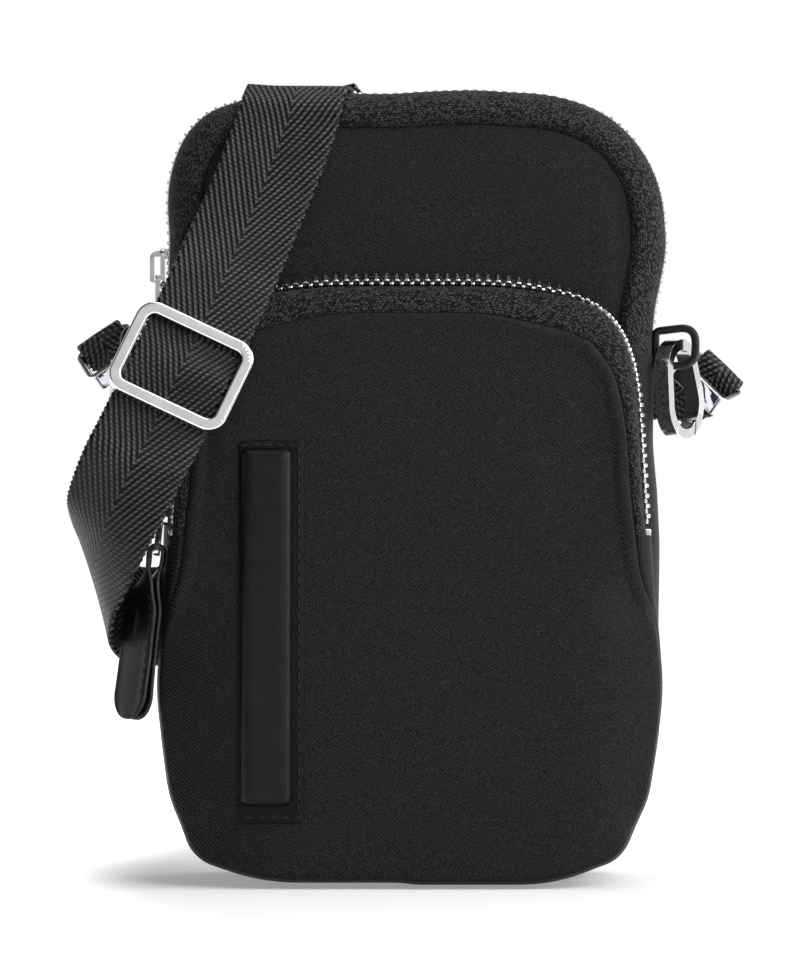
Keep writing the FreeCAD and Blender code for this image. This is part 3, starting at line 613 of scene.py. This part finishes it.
# The chain faces forward along the top, straight out beside the left slider, and nearly so down the right.
facing = np.radians(np.interp(pocket_z, [85, 120, 132, 141, 147.5, 149], [15, 13, 7, 8, 26, 32]))
facing = facing * np.where(pocket_x < -40, smooth_step(pocket_z, 121.0, 20.0), 1.0)
face_sin = np.sin(facing)[:, None]
face_cos = np.cos(facing)[:, None]
chain_offset = -0.75 - 0.35 * face_sin
chain_depth = 8.2 - 1.4 * face_sin
tape_edge = 0.05 + 2.55 * open_share(pocket_z, POCKET_ZIP_END)[:, None]
outer_offset = chain_offset - tape_edge * face_sin
outer_depth = chain_depth - tape_edge * face_cos
inner_offset = chain_offset + tape_edge * face_sin
inner_depth = chain_depth + tape_edge * face_cos

# Outer tape: an arch from the seam to the chain.
seam_offset, seam_depth = section(seam)
turns = np.linspace(0, math.pi / 2, 18)
swell = 0.55 * np.sin(2 * turns)
arch_offset = seam_offset + (outer_offset - seam_offset) * np.sin(turns) + 0.6 * swell
arch_depth = seam_depth + (outer_depth - seam_depth) * (1 - np.cos(turns)) - swell
arch = on_pocket(np.hstack([seam_offset - 0.9, seam_offset - 0.3, arch_offset, outer_offset - 0.7]),
                 np.hstack([seam_depth + 1.8, seam_depth + 0.5, arch_depth, outer_depth + 0.5]))
band("pocket_tape_outer_cloth", arch[pocket_zipped], KNIT,
     replaces=["pocket_tape_outer"], slot="zip_tape")

# Inner tape: from the chain back to the main compartment.
to_main = FRONT_Y - (POCKET_BASE_Y + POCKET_LEAN * pocket_z[:, None])
side_share = smooth_step(np.abs(pocket_normal[:, 0:1]), 0.3, 0.5)
reach_in = to_main + 5.5 * side_share - 0.2
steps = np.linspace(0, 1, 8)
inner_band = on_pocket(np.hstack([inner_offset - 0.7, inner_offset + (-0.3 - inner_offset * 0.4) * steps]),
                       np.hstack([inner_depth - 0.4, inner_depth + (reach_in - inner_depth) * steps]))
band("pocket_tape_inner_cloth", inner_band[pocket_zipped], KNIT,
     replaces=["pocket_tape_inner"], slot="zip_tape")

# Gusset below the zip, tucked in at the seam.
low_reach = to_main + 6.5
low_steps = np.linspace(0, 1, 22)
low_place = seam + (QUARTER + low_reach - POCKET_ROUND - seam) * low_steps
low_offset, low_depth = section(low_place, 0.25 * np.sin(math.pi * low_steps))
tuck_offset, tuck_depth = section(seam - 0.4, -1.5)
gusset_rows = on_pocket(np.hstack([tuck_offset, low_offset]), np.hstack([tuck_depth, low_depth]))
band("pocket_gusset_cloth", gusset_rows[pocket_below], TWILL,
     replaces=["pocket_gusset"], slot="shell_fabric")


# Zip teeth.
def tooth():
    """Box with cut edges, as points and faces."""
    low, high = vec(-0.62, -0.45, -1.0), vec(0.62, 2.5, 1.0)
    bm = bmesh.new()
    bmesh.ops.create_cube(bm, size=1.0)
    for v in bm.verts:
        v.co = (low + (np.array(v.co) + 0.5) * (high - low)).tolist()
    bmesh.ops.bevel(bm, geom=bm.edges[:], offset=0.28, segments=1, affect="EDGES", profile=0.7)
    bm.verts.index_update()
    points = np.array([v.co[:] for v in bm.verts])
    faces = [[v.index for v in f.verts] for f in bm.faces]
    bm.free()
    return points, faces


# A tooth is lower at its tip, which reaches past the middle line, and narrower at its root.
tooth_points, tooth_faces = tooth()
tooth_points[:, 2] *= np.where(tooth_points[:, 1] < 0.8, 0.78, 1.0)
tooth_points[:, 0] *= np.where(tooth_points[:, 1] > 1.2, 0.8, 1.0)
FORWARD = vec(0, -1, 0)


def teeth(zip_name, labels, line, across, outward, zip_end):
    """Two rows of teeth along a line, half a pitch apart and facing each other."""
    along = lengths(line)
    for label, side, first in zip(labels, (1, -1), (FIRST_TOOTH, FIRST_TOOTH + TOOTH_PITCH / 2)):
        places = []
        for at in np.arange(first, along[-1], TOOTH_PITCH):
            p = read_at(line, along, at)
            if p[2] > zip_end + TOOTH_CLEARANCE:
                y = unit(read_at(side * across, along, at))
                z = unit(read_at(outward, along, at))
                places.append((p, np.cross(y, z), y, z))
        node = zip_name + "_teeth_" + label
        make(node + "_row", *joined(tooth_points, tooth_faces, places), ZIP_METAL, replaces=[node],
             slot="zip_metal", smooth=False)


main_line = outline_at(main_path, main_normal, -0.25)[zipped]
main_out = np.insert(main_normal, 1, 0.0, axis=1)[zipped]
teeth("main", ("front", "back"), main_line, np.tile(FORWARD, (len(zipped), 1)), main_out, MAIN_ZIP_END)
chain_line = on_pocket(chain_offset, chain_depth)[:, 0]
pocket_out = np.insert(pocket_normal, 1, 0.0, axis=1)
chain_outward = pocket_out * face_cos + FORWARD * face_sin
chain_across = -pocket_out * face_sin + FORWARD * face_cos
teeth("pocket", ("outer", "inner"), chain_line[pocket_zipped], chain_across[pocket_zipped],
      chain_outward[pocket_zipped], POCKET_ZIP_END)

# Webbing.
EDGE_ROUND = 0.35
CROWN = 0.12
EDGE_SAW = 0.22


def strap(name, stations, width, thick, step, start=0.0, columns=26, share=(0.0, 1.0), **options):
    """Flat band of webbing through stations of (centre, across), or a share of it.

    Its edges are rounded and toothed, and its UV runs across and along in millimetres.
    """
    marks, turned = (np.array(part, float) for part in zip(*stations))
    rough = spline(marks, 400)
    length = lengths(rough)[-1]
    count = max(int(length / step), 8)
    line = resampled(rough, count)
    keys = lengths(marks)
    across = read_at(turned, keys / keys[-1], np.linspace(0, 1, count))
    for _ in range(int(count / 60)):
        across[1:-1] = (across[:-2] + 2 * across[1:-1] + across[2:]) / 4
    tangent = unit(np.gradient(line, axis=0))
    across = unit(across - (across * tangent).sum(axis=1, keepdims=True) * tangent)
    face = unit(np.cross(tangent, across))
    along = start + np.linspace(0, length, count)
    half = width / 2
    u = np.linspace(-half + EDGE_ROUND, half - EDGE_ROUND, columns)
    n = thick / 2 - CROWN + CROWN * np.cos(np.linspace(-math.pi / 2, math.pi / 2, columns))
    ring_u = np.concatenate([u, [half], u[::-1], [-half]])
    ring_n = np.concatenate([n, [0.0], -n[::-1], [0.0]])
    saw = EDGE_SAW * (np.abs(((along / RIB_PITCH) % 1.0) - 0.5) * 4 - 1)
    edge = np.where(np.abs(ring_u) > half - 0.4, np.sign(ring_u), 0.0)
    rows = (line[:, None] + across[:, None] * (ring_u[None] + edge[None] * saw[:, None])[:, :, None]
            + face[:, None] * ring_n[None, :, None])
    kept = slice(round(share[0] * (count - 1)), round(share[1] * (count - 1)) + 1)
    rows = rows[kept]
    uv = np.stack(np.broadcast_arrays(ring_u[None], along[kept, None]), axis=2).reshape(-1, 2)
    return make(name, rows.reshape(-1, 3), tube(*rows.shape[:2]), WEBBING, uv=uv, slot="webbing", **options)


def run(across, *centres):
    """Stations that share one direction across."""
    return [(vec(*centre), across) for centre in centres]


ALONG_X = vec(1, 0, 0)
ALONG_Z = vec(0, 0, -1)
RIM_RADIUS = 9.6
RIM_HALF = 6.0
RIM_Z = 187.0

# One length of webbing: up the back, over the rim, down to the adjuster, and round behind as a loose loop.
long_stations = run(ALONG_X, (0.0, 27.4, 149.8), (0.0, 27.4, 151.6), (-0.4, 26.9, 154.5),
                    (-4.0, 21.6, 163.5), (-11.5, 6.6 + RIM_RADIUS, RIM_Z - 13))
for side, places in ((1, ((0, -20.0), (30, -22.6), (60, -24.6), (85, -26.0))),
                     (-1, ((85, -27.6), (60, -28.3), (30, -29.2), (0, -30.6)))):
    for degrees, x in places:
        turn = math.radians(degrees)
        y = side * (RIM_HALF + RIM_RADIUS * math.cos(turn))
        long_stations += run(ALONG_X, (x, y, RIM_Z + RIM_RADIUS * math.sin(turn)))
shoulder_x = ADJUSTER[0] + (POCKET_TOP - ADJUSTER[2]) * math.tan(STRAP_LEAN) - 0.5
shoulder_y = POCKET_BASE_Y + POCKET_LEAN * POCKET_TOP - 2.2
long_stations += run(ALONG_X, (-33.8, -17.2, 178.0), (-37.6, -19.6, 168.0))
long_stations += run(RUN_ACROSS, (shoulder_x, shoulder_y, POCKET_TOP), ADJUSTER, ADJUSTER + RUN_DOWN * 19.0)
LOOSE_LOOP = [((-11.4, -7.3, -23.8), (0.89, -0.03, -0.45)), ((-16.7, -5.9, -35.6), (0.80, -0.29, -0.50)),
              ((-19.3, -0.4, -43.4), (0.62, -0.51, -0.59)), ((-21.0, 8.6, -50.0), (0.37, -0.585, -0.72)),
              ((-20.3, 19.9, -56.0), (0.20, -0.40, -0.89)), ((-16.0, 33.6, -60.0), (0.05, -0.20, -0.98)),
              ((-11.3, 44.6, -61.5), ALONG_Z)]
long_stations += [(ADJUSTER + offset, across) for offset, across in LOOSE_LOOP]
long_stations += run(ALONG_Z, (-63.0, 15.5, 64.5), (-57.0, 19.0, 65.0), (-40.0, 20.5, 69.0),
                     (-13.5, 21.0, 74.0))
strap("strap_long_webbing", long_stations, STRAP_WIDTH, STRAP_THICK, 0.34,
      replaces=["strap_front", "strap_loop"])

# The rest of the strap, folded behind the pouch.
HANK_LAYERS = 5
HANK_Y = 15.3
HANK_STEP = 3.0
HANK_ENDS = (14.0, 150.0)
HANK_BEND = 1.9
hank_stations = []
for layer in range(HANK_LAYERS):
    y = HANK_Y + HANK_STEP * layer
    ends = HANK_ENDS if layer % 2 == 0 else HANK_ENDS[::-1]
    for z in np.linspace(*ends, 7):
        hank_stations += run(ALONG_X, (0, y + 0.25 * math.sin(z / 23.0 + layer), z))
    if layer < HANK_LAYERS - 1:
        bend = math.copysign(HANK_BEND, ends[1] - ends[0])
        hank_stations += run(ALONG_X, (0, y + HANK_STEP / 2, ends[1] + bend))
strap("strap_hank_webbing", hank_stations, STRAP_WIDTH, 1.5, 0.7, columns=14, replaces=["strap_hank"])

# Webbing on the adjuster, by (distance up the strap, height off it).
run_face = unit(np.cross(RUN_DOWN, RUN_ACROSS))


def on_adjuster(name, places, width, thick, step, **options):
    stations = [(ADJUSTER - RUN_DOWN * along + run_face * out, RUN_ACROSS) for along, out in places]
    strap(name, stations, width, thick, step, body="adjuster", **options)


BIGHT = [(-18.0, -4.1), (-9.0, -4.1), (0.0, -4.1), (2.2, -3.6), (2.7, -2.2)]
SWELL = [(8.6, 0.9), (5.4, 1.6), (2.2, 2.8), (0.0, 3.2), (-2.6, 2.8), (-5.6, 1.6), (-8.6, 0.8)]
on_adjuster("strap_bight_webbing", BIGHT, STRAP_WIDTH, 1.5, 0.5, columns=16, replaces=["strap_bight"])
on_adjuster("strap_over_bar_webbing", SWELL, STRAP_WIDTH - 0.8, 0.9, 0.34, start=72.0)

# Strap ends in the eyes of the hooks.
HOOK_TOP = vec(0, 0, 126.4)
HOOK_TURN = 58.0
HOOK_PLACE = vec(66.5, -5.0, 0)
EYE_START = 9.5
EYE_LENGTH = 10.5
EYE_BAR = 1.5
TAIL_SIZE = (12.5, 1.8)
TAIL_CUT = 0.45
TAIL_START = vec(EYE_START + EYE_LENGTH - EYE_BAR / 2 + 1.9, 0, 119.6)
UP = vec(0, 0, 1)


def on_hook(points, swing, side):
    """Points of the tail's own frame, placed on a hook."""
    swung = about(TAIL_START + np.array(points, float), HOOK_TOP, vec(0, 1, 0), -swing)
    return (about(swung, vec(0, 0, 0), UP, HOOK_TURN) + HOOK_PLACE) * vec(side, 1, 1)


fold = vec(0, math.cos(math.radians(45.0)), math.sin(math.radians(45.0)))
tail = run(fold, (-4.1, 1.6, -1.6), (-3.7, -1.8, 1.8), (-1.9, -3.0, 3.0), (-0.2, -1.8, 1.8),
           (0.3, 1.0, -1.0), (0.0, 3.6, -3.4))
tail += [(vec(-0.8, 6.0, -4.3), vec(0.1, 0.5, 0.86)), (vec(-2.6, 9.8, -4.2), vec(0.05, 0.25, 0.97)),
         (vec(-6.0, 15.9, -3.0), vec(0, 0.1, 0.99)), (vec(-14.0, 31.9, -1.0), UP)]
for label, swing, side, end in (("right", 14.0, 1, (-26.0, 61.4, 0)), ("left", 38.0, -1, (-30.7, 61.2, 0))):
    stations = []
    for centre, across in tail + run(UP, end):
        ends = on_hook([centre, centre + across], swing, side)
        stations.append((ends[0], ends[1] - ends[0]))
    node = "strap_end_" + label
    near = strap(node + "_webbing", stations, *TAIL_SIZE, 0.5, columns=14, share=(0.0, TAIL_CUT), body=None,
                 replaces=[node])
    far = strap(node + "_tail", stations, *TAIL_SIZE, 0.5, columns=14, share=(TAIL_CUT, 1.0), body=None)
    marks = [(0.0, 2.0, 0.0), (-5.0, 17.0, 0.0), (-11.0, 27.0, 0.0), (-24.0, 55.0, 0.0)]
    marks = [tuple(mark) for mark in on_hook(marks, swing, side) / 1000]
    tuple(marks[0])
    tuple(marks[1])
    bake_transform(near)
    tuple(marks[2])
    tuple(marks[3])
    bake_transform(far)

# Leather side loops: closed bands with a rounded section.
LOOP_ROOT = 60.6
LOOP_OUT = LOOP_ROOT + 11.5
LOOP_LOW = 126.9
LOOP_MIDDLE = vec(LOOP_ROOT + 5.7, 0, 132.3)
LOOP_SIDES = 16
LOOP_HALF_WIDE = 2.2
LOOP_HALF_THICK = 1.0


def loop_line():
    """Middle line of the right loop, with rounded corners."""
    corners = [(LOOP_OUT, LOOP_LOW, 4.0), (LOOP_OUT, 138.0, 4.0), (LOOP_ROOT, 136.8, 1.2),
               (LOOP_ROOT, LOOP_LOW, 1.2)]
    places = [vec(x, 0, z) for x, z, _ in corners]
    line = []
    for i, p in enumerate(places):
        r = corners[i][2]
        back = unit(places[i - 1] - p)
        ahead = unit(places[(i + 1) % len(places)] - p)
        inner = unit(LOOP_MIDDLE - p)
        for t in np.linspace(0, 1, 7):
            a = p + back * r * (1 - t)
            b = p + ahead * r * t
            line.append(a * (1 - t) + b * t + inner)
    line = resampled(np.array(line + line[:1]), 73)[:-1]
    return about(line, vec(LOOP_ROOT, 0, 0), UP, -8.0) + vec(0, -5.0, 0)


def squared(value):
    """Sine or cosine pushed out, for a section between round and square."""
    return math.copysign(abs(value) ** 0.7, value)


for label, side in (("right", 1), ("left", -1)):
    line = loop_line() * vec(side, 1, 1)
    across = unit(vec(0.139 * side, 0.99, 0))
    tangent = unit(np.roll(line, -1, axis=0) - np.roll(line, 1, axis=0))
    out = unit(np.cross(tangent, across))
    rows = []
    for angle in 2 * math.pi * np.arange(LOOP_SIDES) / LOOP_SIDES:
        rows.append(line + across * (LOOP_HALF_WIDE * squared(math.cos(angle)))
                    + out * (LOOP_HALF_THICK * squared(math.sin(angle))))
    faces = grid(len(line), LOOP_SIDES, wrap_rows=True, wrap_cols=True)
    make("loop_" + label + "_leather", np.stack(rows, axis=1).reshape(-1, 3), faces, LEATHER,
         replaces=["loop_" + label], slot="leather")


# Leather patch and strip on the pocket front.
def pillow(name, x_low, x_high, z_low, z_high, material, thick, corner, back, crown, **options):
    """Leather piece on the pocket front, its edges rolled over, following the cloth."""
    nx = 26
    nz = int((z_high - z_low) / 1.2)
    u = 0.5 - 0.5 * np.cos(np.linspace(0, math.pi, nx))
    v = np.linspace(0, 1, nz)
    v = 0.5 * v + 0.5 * (0.5 - 0.5 * np.cos(math.pi * v))
    x, z = np.meshgrid(x_low + u * (x_high - x_low), z_low + v * (z_high - z_low))
    edge = np.minimum(np.minimum(x - x_low, x_high - x), np.minimum(z - z_low, z_high - z))
    roll_in = np.clip(edge / crown, 0, 1)
    lift = thick * np.sqrt(np.clip(1 - (1 - roll_in) ** 2, 0, 1))
    front = np.stack([x, pocket_y(x, z) - back - lift, z], axis=2)
    # Points in the square corners are pulled in to a round one.
    from_x = x - (x_low + x_high) / 2
    from_z = z - (z_low + z_high) / 2
    cx = np.clip(np.abs(from_x) - ((x_high - x_low) / 2 - corner), 0, corner)
    cz = np.clip(np.abs(from_z) - ((z_high - z_low) / 2 - corner), 0, corner)
    far = np.hypot(cx, cz)
    pull = np.where(far > 1e-6, np.maximum(cx, cz) / np.maximum(far, 1e-6), 1.0)
    front[:, :, 0] -= np.sign(from_x) * cx * (1 - pull)
    front[:, :, 2] -= np.sign(from_z) * cz * (1 - pull)
    make(name, front.reshape(-1, 3), grid(nz, nx), material, slot="leather", **options)


PATCH = (-41.8, -25.8, 15.6, 109.0)
STRIP = (-41.3, -28.7, 20.0, 107.0)
pillow("leather_patch_flange", *PATCH, PATCH_LEATHER, thick=1.0, corner=1.5, back=0.0, crown=0.6,
       replaces=["leather_patch"])
pillow("leather_strip_raised", *STRIP, LEATHER, thick=2.5, corner=1.6, back=0.9, crown=3.0,
       replaces=["leather_strip"])

# Stitches.
CAPSULE_RINGS = 7
CAPSULE_SIDES = 6


def capsule(length, thick):
    """Short thread, thinner at both ends."""
    points = []
    for t in np.linspace(-1, 1, CAPSULE_RINGS):
        r = thick / 2 * math.sqrt(max(1 - t * t * 0.92, 0.0))
        for k in range(CAPSULE_SIDES):
            a = 2 * math.pi * k / CAPSULE_SIDES
            points.append((t * length / 2, r * math.cos(a), r * math.sin(a)))
    return np.array(points), tube(CAPSULE_RINGS, CAPSULE_SIDES)


def stitches(name, line, out, pitch, length, thick, **options):
    """Row of thread stitches along a line, lying on the surface."""
    along = lengths(line)
    places = []
    for at in np.arange(pitch / 2, along[-1], pitch):
        x = unit(read_at(line, along, at + 0.2) - read_at(line, along, at - 0.2))
        z = unit(out - (out @ x) * x)
        places.append((read_at(line, along, at), x, np.cross(z, x), z))
    make(name, *joined(*capsule(length, thick), places), THREAD, slot="leather", **options)


x_low, x_high, z_low, z_high = PATCH[0] + 1.2, PATCH[1] - 1.3, PATCH[2] + 1.6, PATCH[3] - 1.3
seam_corners = np.array([(x_low, z_low), (x_high, z_low), (x_high, z_high), (x_low, z_high)])
seam_x, seam_z = resampled(seam_corners, 200).T
patch_seam = np.stack([seam_x, pocket_y(seam_x, seam_z) - 1.05, seam_z], axis=1)
stitches("leather_patch_stitches", patch_seam, FORWARD, pitch=2.9, length=2.1, thick=0.7)

# Puller: two leather layers on the bar of the link, twisted to the front below the neck.
PULL_BAR = vec(-62.23, -21.896, 81.192)
PULL_LENGTH = 41.0
PULL_HALF = 6.4
NECK_HALF = 3.4
WRAP = 1.75
TWIST = math.radians(38.0)
FOOT = 6.0
pull_down = unit(vec(-1.039, -0.581, -9.627))
pull_wide = unit(vec(0, 1, 0) - pull_down * pull_down[1])
pull_out = unit(np.cross(pull_wide, pull_down))


def puller_frame(s):
    """Middle, width direction and outward direction of the puller at a distance below the bar."""
    twist = TWIST * smooth_step(s, 1.0, 14.0)
    wide = pull_wide * math.cos(twist) + pull_out * math.sin(twist)
    out = pull_out * math.cos(twist) - pull_wide * math.sin(twist)
    return PULL_BAR + pull_down * s + vec(-1.7, -1.7, 0) * smooth_step(s, 2.0, 9.0), wide, out


def puller_half(s):
    """Half width: a narrow neck, then even, then a round foot."""
    foot = s - PULL_LENGTH + PULL_HALF
    if foot > 0:
        return PULL_HALF * math.sqrt(max(1 - (foot / PULL_HALF) ** 2, 0.0)) + 0.05
    return NECK_HALF + (PULL_HALF - NECK_HALF) * smooth_step(s, 1.5, 6.0)


def puller_gap(s):
    """Distance of each layer from the middle."""
    return WRAP - 0.85 * smooth_step(s, 1.0, 7.0) + 0.35 * smooth_step(s, 26.0, 14.0)


# Section of one layer, as (share of the half width, height), and its two painted edges among the faces.
LAYER = ((-1, -0.42), (-0.985, 0.2), (-0.93, 0.5), (-0.84, 0.6), (-0.8, 0.5), (-0.5, 0.66), (0, 0.72),
         (0.5, 0.66), (0.8, 0.5), (0.84, 0.6), (0.93, 0.5), (0.985, 0.2), (1, -0.42), (0.9, -0.6),
         (0, -0.6), (-0.9, -0.6))
PAINTED = (0, 11)


def folded_puller():
    """One strip of leather folded over the bar: down the front, with painted edges, and down behind."""
    down = np.concatenate([np.linspace(0.0, 8.0, 12), np.linspace(9.5, PULL_LENGTH - FOOT, 16),
                           PULL_LENGTH - FOOT + FOOT * np.sin(np.linspace(0.12, math.pi / 2, 9))])

    def ring(middle, wide, out, half):
        return [middle + wide * (u * half) + out * n for u, n in LAYER]

    def layer(s, side):
        middle, wide, out = puller_frame(s)
        return ring(middle + side * out * puller_gap(s), wide, side * out, puller_half(s))

    middle, wide, out = puller_frame(0.0)
    rows = [layer(s, 1) for s in down[::-1]]
    for turn in np.radians(np.arange(15, 180, 15)):
        around = out * math.cos(turn) - pull_down * math.sin(turn)
        rows.append(ring(middle + around * WRAP, wide, around, NECK_HALF))
    rows += [layer(s, -1) for s in down]
    n, k = len(rows), len(LAYER)
    piece = make("pocket_puller_leather", np.array(rows).reshape(-1, 3), tube(n, k), LEATHER,
                 body="pocket_puller", replaces=["pocket_puller"], slot="leather")
    piece.data.materials.append(EDGE_PAINT)
    for polygon in piece.data.polygons[:(n - 1) * k]:
        if polygon.index % k in PAINTED:
            polygon.material_index = 1


folded_puller()


# Slit in the outer face of the puller, with its lips, and the seam along its edge.
def on_puller(s, lift, aside):
    """Point above the outer face, aside by a share of the half width."""
    middle, wide, out = puller_frame(s)
    return middle + out * (puller_gap(s) + lift) - wide * (aside * puller_half(s))


slit = np.mean([on_puller(s, 0.7, 0.0) for s in np.linspace(12.0, 25.0, 14)], axis=0)
seam_side = np.array([on_puller(s, 0.52, 0.8) for s in np.linspace(7.0, 35.5, 30)])
_, pull_across, pull_face = puller_frame(18.0)
SLIT_PIECES = (("puller_slit", 0.0, 0.25, 0.9, THREAD), ("puller_lip_near", -0.75, 0.2, 0.8, LEATHER),
               ("puller_lip_far", 0.75, 0.2, 0.8, LEATHER))
for name, shift, sunk, thick, material in SLIT_PIECES:
    middle = slit + pull_across * shift - pull_face * sunk
    place = (middle, pull_down, np.cross(pull_face, pull_down), pull_face)
    make(name, *joined(*capsule(14.0, thick), [place]), material, body="pocket_puller", slot="leather")
stitches("puller_stitches", seam_side, pull_face, pitch=2.6, length=1.9, thick=0.5, body="pocket_puller")


# Linings.
def lining(label, path, normal, front, lean, back, middle):
    """Thin bag inside a shell, from a front that may lean to a flat back."""
    rings = []
    for offset, share in ((-6.0, 0.0), (-3.0, 0.08), (-2.2, 0.3), (-2.2, 0.7), (-3.0, 0.92), (-6.0, 1.0)):
        ring = outline_at(path, normal, offset)
        low = front + lean * ring[:, 2]
        ring[:, 1] = low + (back - low) * share
        rings.append(ring)
    count, n = len(rings), len(path)
    points = np.vstack(rings + [vec(0, front + lean * middle, middle), vec(0, back, middle)])
    faces = grid(count, n, wrap_cols=True) + fan(0, n, count * n) + fan((count - 1) * n, n, count * n + 1)
    make(label + "_lining_bag", points, faces, LINING, replaces=[label + "_lining"], slot="lining")


lining("main", main_path, main_normal, FRONT_Y + 2.2, 0.0, BACK_Y - 2.2, MAIN_MIDDLE)
lining("pocket", pocket_path, pocket_normal, POCKET_BASE_Y + 4.4, POCKET_LEAN, FRONT_Y - 1.6, POCKET_MIDDLE)

# Metal pieces carried over from the solids, with the width of their rounded edges.
BEVELS = {"adjuster_frame": 0.55, "adjuster_bar": 0.5, "main_slider": 0.35, "pocket_slider": 0.35,
          "main_pull": 0.35, "pocket_link": 0.35, "main_stops": 0.2, "pocket_stops": 0.2}
for label in ("left", "right"):
    BEVELS |= {"hook_" + label: 0.7, "gate_" + label: 0.6, "eye_" + label: 0.45}
for name, width in BEVELS.items():
    piece = nodes[name]
    piece.data.materials.clear()
    piece.data.materials.append(ZIP_METAL if name.endswith("stops") else POLISHED)
    weld = piece.modifiers.new("joined", "WELD")
    weld.merge_threshold = 0.00001
    bevel = piece.modifiers.new("edges", "BEVEL")
    bevel.width = width / 1000
    bevel.segments = 3
    bevel.limit_method = "ANGLE"
    bevel.angle_limit = math.radians(35)
    normals = piece.modifiers.new("normals", "WEIGHTED_NORMAL")
    normals.keep_sharp = False

# Stage, light and camera, in metres.
FLOOR_HALF = 6
FLOOR_Z = -0.0004
FLOOR_LIFT = 0.3
scene = bpy.context.scene
scene.view_settings.view_transform = "Standard"


def seen_directly(tree):
    """1 for rays that show the background itself, in the picture or mirrored, and 0 for light on things."""
    rays = tree.nodes.new("ShaderNodeLightPath").outputs
    mirrored = calc(tree, "MAXIMUM", rays["Is Glossy Ray"], rays["Is Transmission Ray"])
    return calc(tree, "MAXIMUM", rays["Is Camera Ray"], mirrored)


def pale_floor(tree):
    """Pale floor that keeps the shadow near the object and fades to white further off."""
    tree.nodes.clear()
    squeezed = add_node(tree, "VectorMath", {0: coordinate(tree), 1: (1.6, 0.8, 1.0)}, operation="MULTIPLY")
    far = add_node(tree, "VectorMath", {0: squeezed.outputs["Vector"]}, operation="LENGTH")
    fade = span(tree, far.outputs["Value"], FLOOR_LIFT, 1.0, 0.1, 0.155)
    fade.node.interpolation_type = "SMOOTHSTEP"
    plain = add_node(tree, "BsdfDiffuse", {"Color": (0.8, 0.8, 0.8, 1)})
    glow = add_node(tree, "Emission", {"Strength": times(tree, fade, seen_directly(tree))})
    added = add_node(tree, "AddShader", {0: plain.outputs[0], 1: glow.outputs[0]})
    add_node(tree, "OutputMaterial", {0: added.outputs[0]})


floor_mesh = bpy.data.meshes.new("floor")
corners = [(FLOOR_HALF * x, FLOOR_HALF * y, FLOOR_Z) for x, y in ((-1, -1), (1, -1), (1, 1), (-1, 1))]
floor_mesh.from_pydata(corners, [], [(0, 1, 2, 3)])
floor_mesh.materials.append(new_material("floor", pale_floor))
floor = linked("floor", floor_mesh)

# World: white to the camera. The object sees a dark room, a white sweep behind and a soft light in front.
world = bpy.data.worlds.new("studio")
scene.world = world
world.use_nodes = True
tree = world.node_tree
background = tree.nodes["Background"]
ray = coordinate(tree, "Generated")
_, depth_axis, up_axis = axes(tree, ray)
behind = span(tree, calc(tree, "MULTIPLY_ADD", depth_axis, 2.0, 0.5), 0.0, 1.0)
sweep = span(tree, up_axis, 1.0, 0.1, 0.4, 0.7)
towards = add_node(tree, "VectorMath", {0: ray, 1: (0.15, -0.90, 0.40)}, operation="DOT_PRODUCT")
front = span(tree, towards.outputs["Value"], 0.0, 0.78, 0.8, 0.97)
room = calc(tree, "MAXIMUM", calc(tree, "MAXIMUM", times(tree, behind, sweep), front), 0.1)
rays = tree.nodes.new("ShaderNodeLightPath").outputs
tone = calc(tree, "MAXIMUM", room, rays["Is Camera Ray"])
white = add_node(tree, "CombineColor", {0: tone, 1: tone, 2: tone})
feed(tree, background.inputs["Color"], white.outputs[0])
feed(tree, background.inputs["Strength"], span(tree, seen_directly(tree), 0.4, 1.0))

# Lamps: name, place, width and height, power.
LAMPS = (("key", (0.7, -0.95, 0.95), (0.8, 0.8), 10.0), ("side", (1.0, -0.2, 0.5), (0.4, 0.7), 6.5),
         ("fill", (-0.8, -0.9, 0.5), (0.6, 0.9), 0.2), ("top", (0.2, 0.1, 1.0), (0.8, 0.6), 4.5))
LAMP_TARGET = Vector((0, 0, 0.1))
for name, place, size, power in LAMPS:
    light = bpy.data.lights.new(name, "AREA")
    light.shape = "RECTANGLE"
    light.size, light.size_y = size
    light.energy = power
    lamp = linked(name, light)
    lamp.location = place
    lamp.rotation_euler = (LAMP_TARGET - Vector(place)).to_track_quat("-Z", "Y").to_euler()

camera_data = bpy.data.cameras.new("camera")
camera_data.lens = 169.0
camera_data.clip_start = 0.05
camera = linked("camera", camera_data)
camera.location = (-0.0024, -1.13, 0.104)
camera.rotation_euler = (math.radians(90.0 - 0.25), 0, 0)
scene.camera = camera
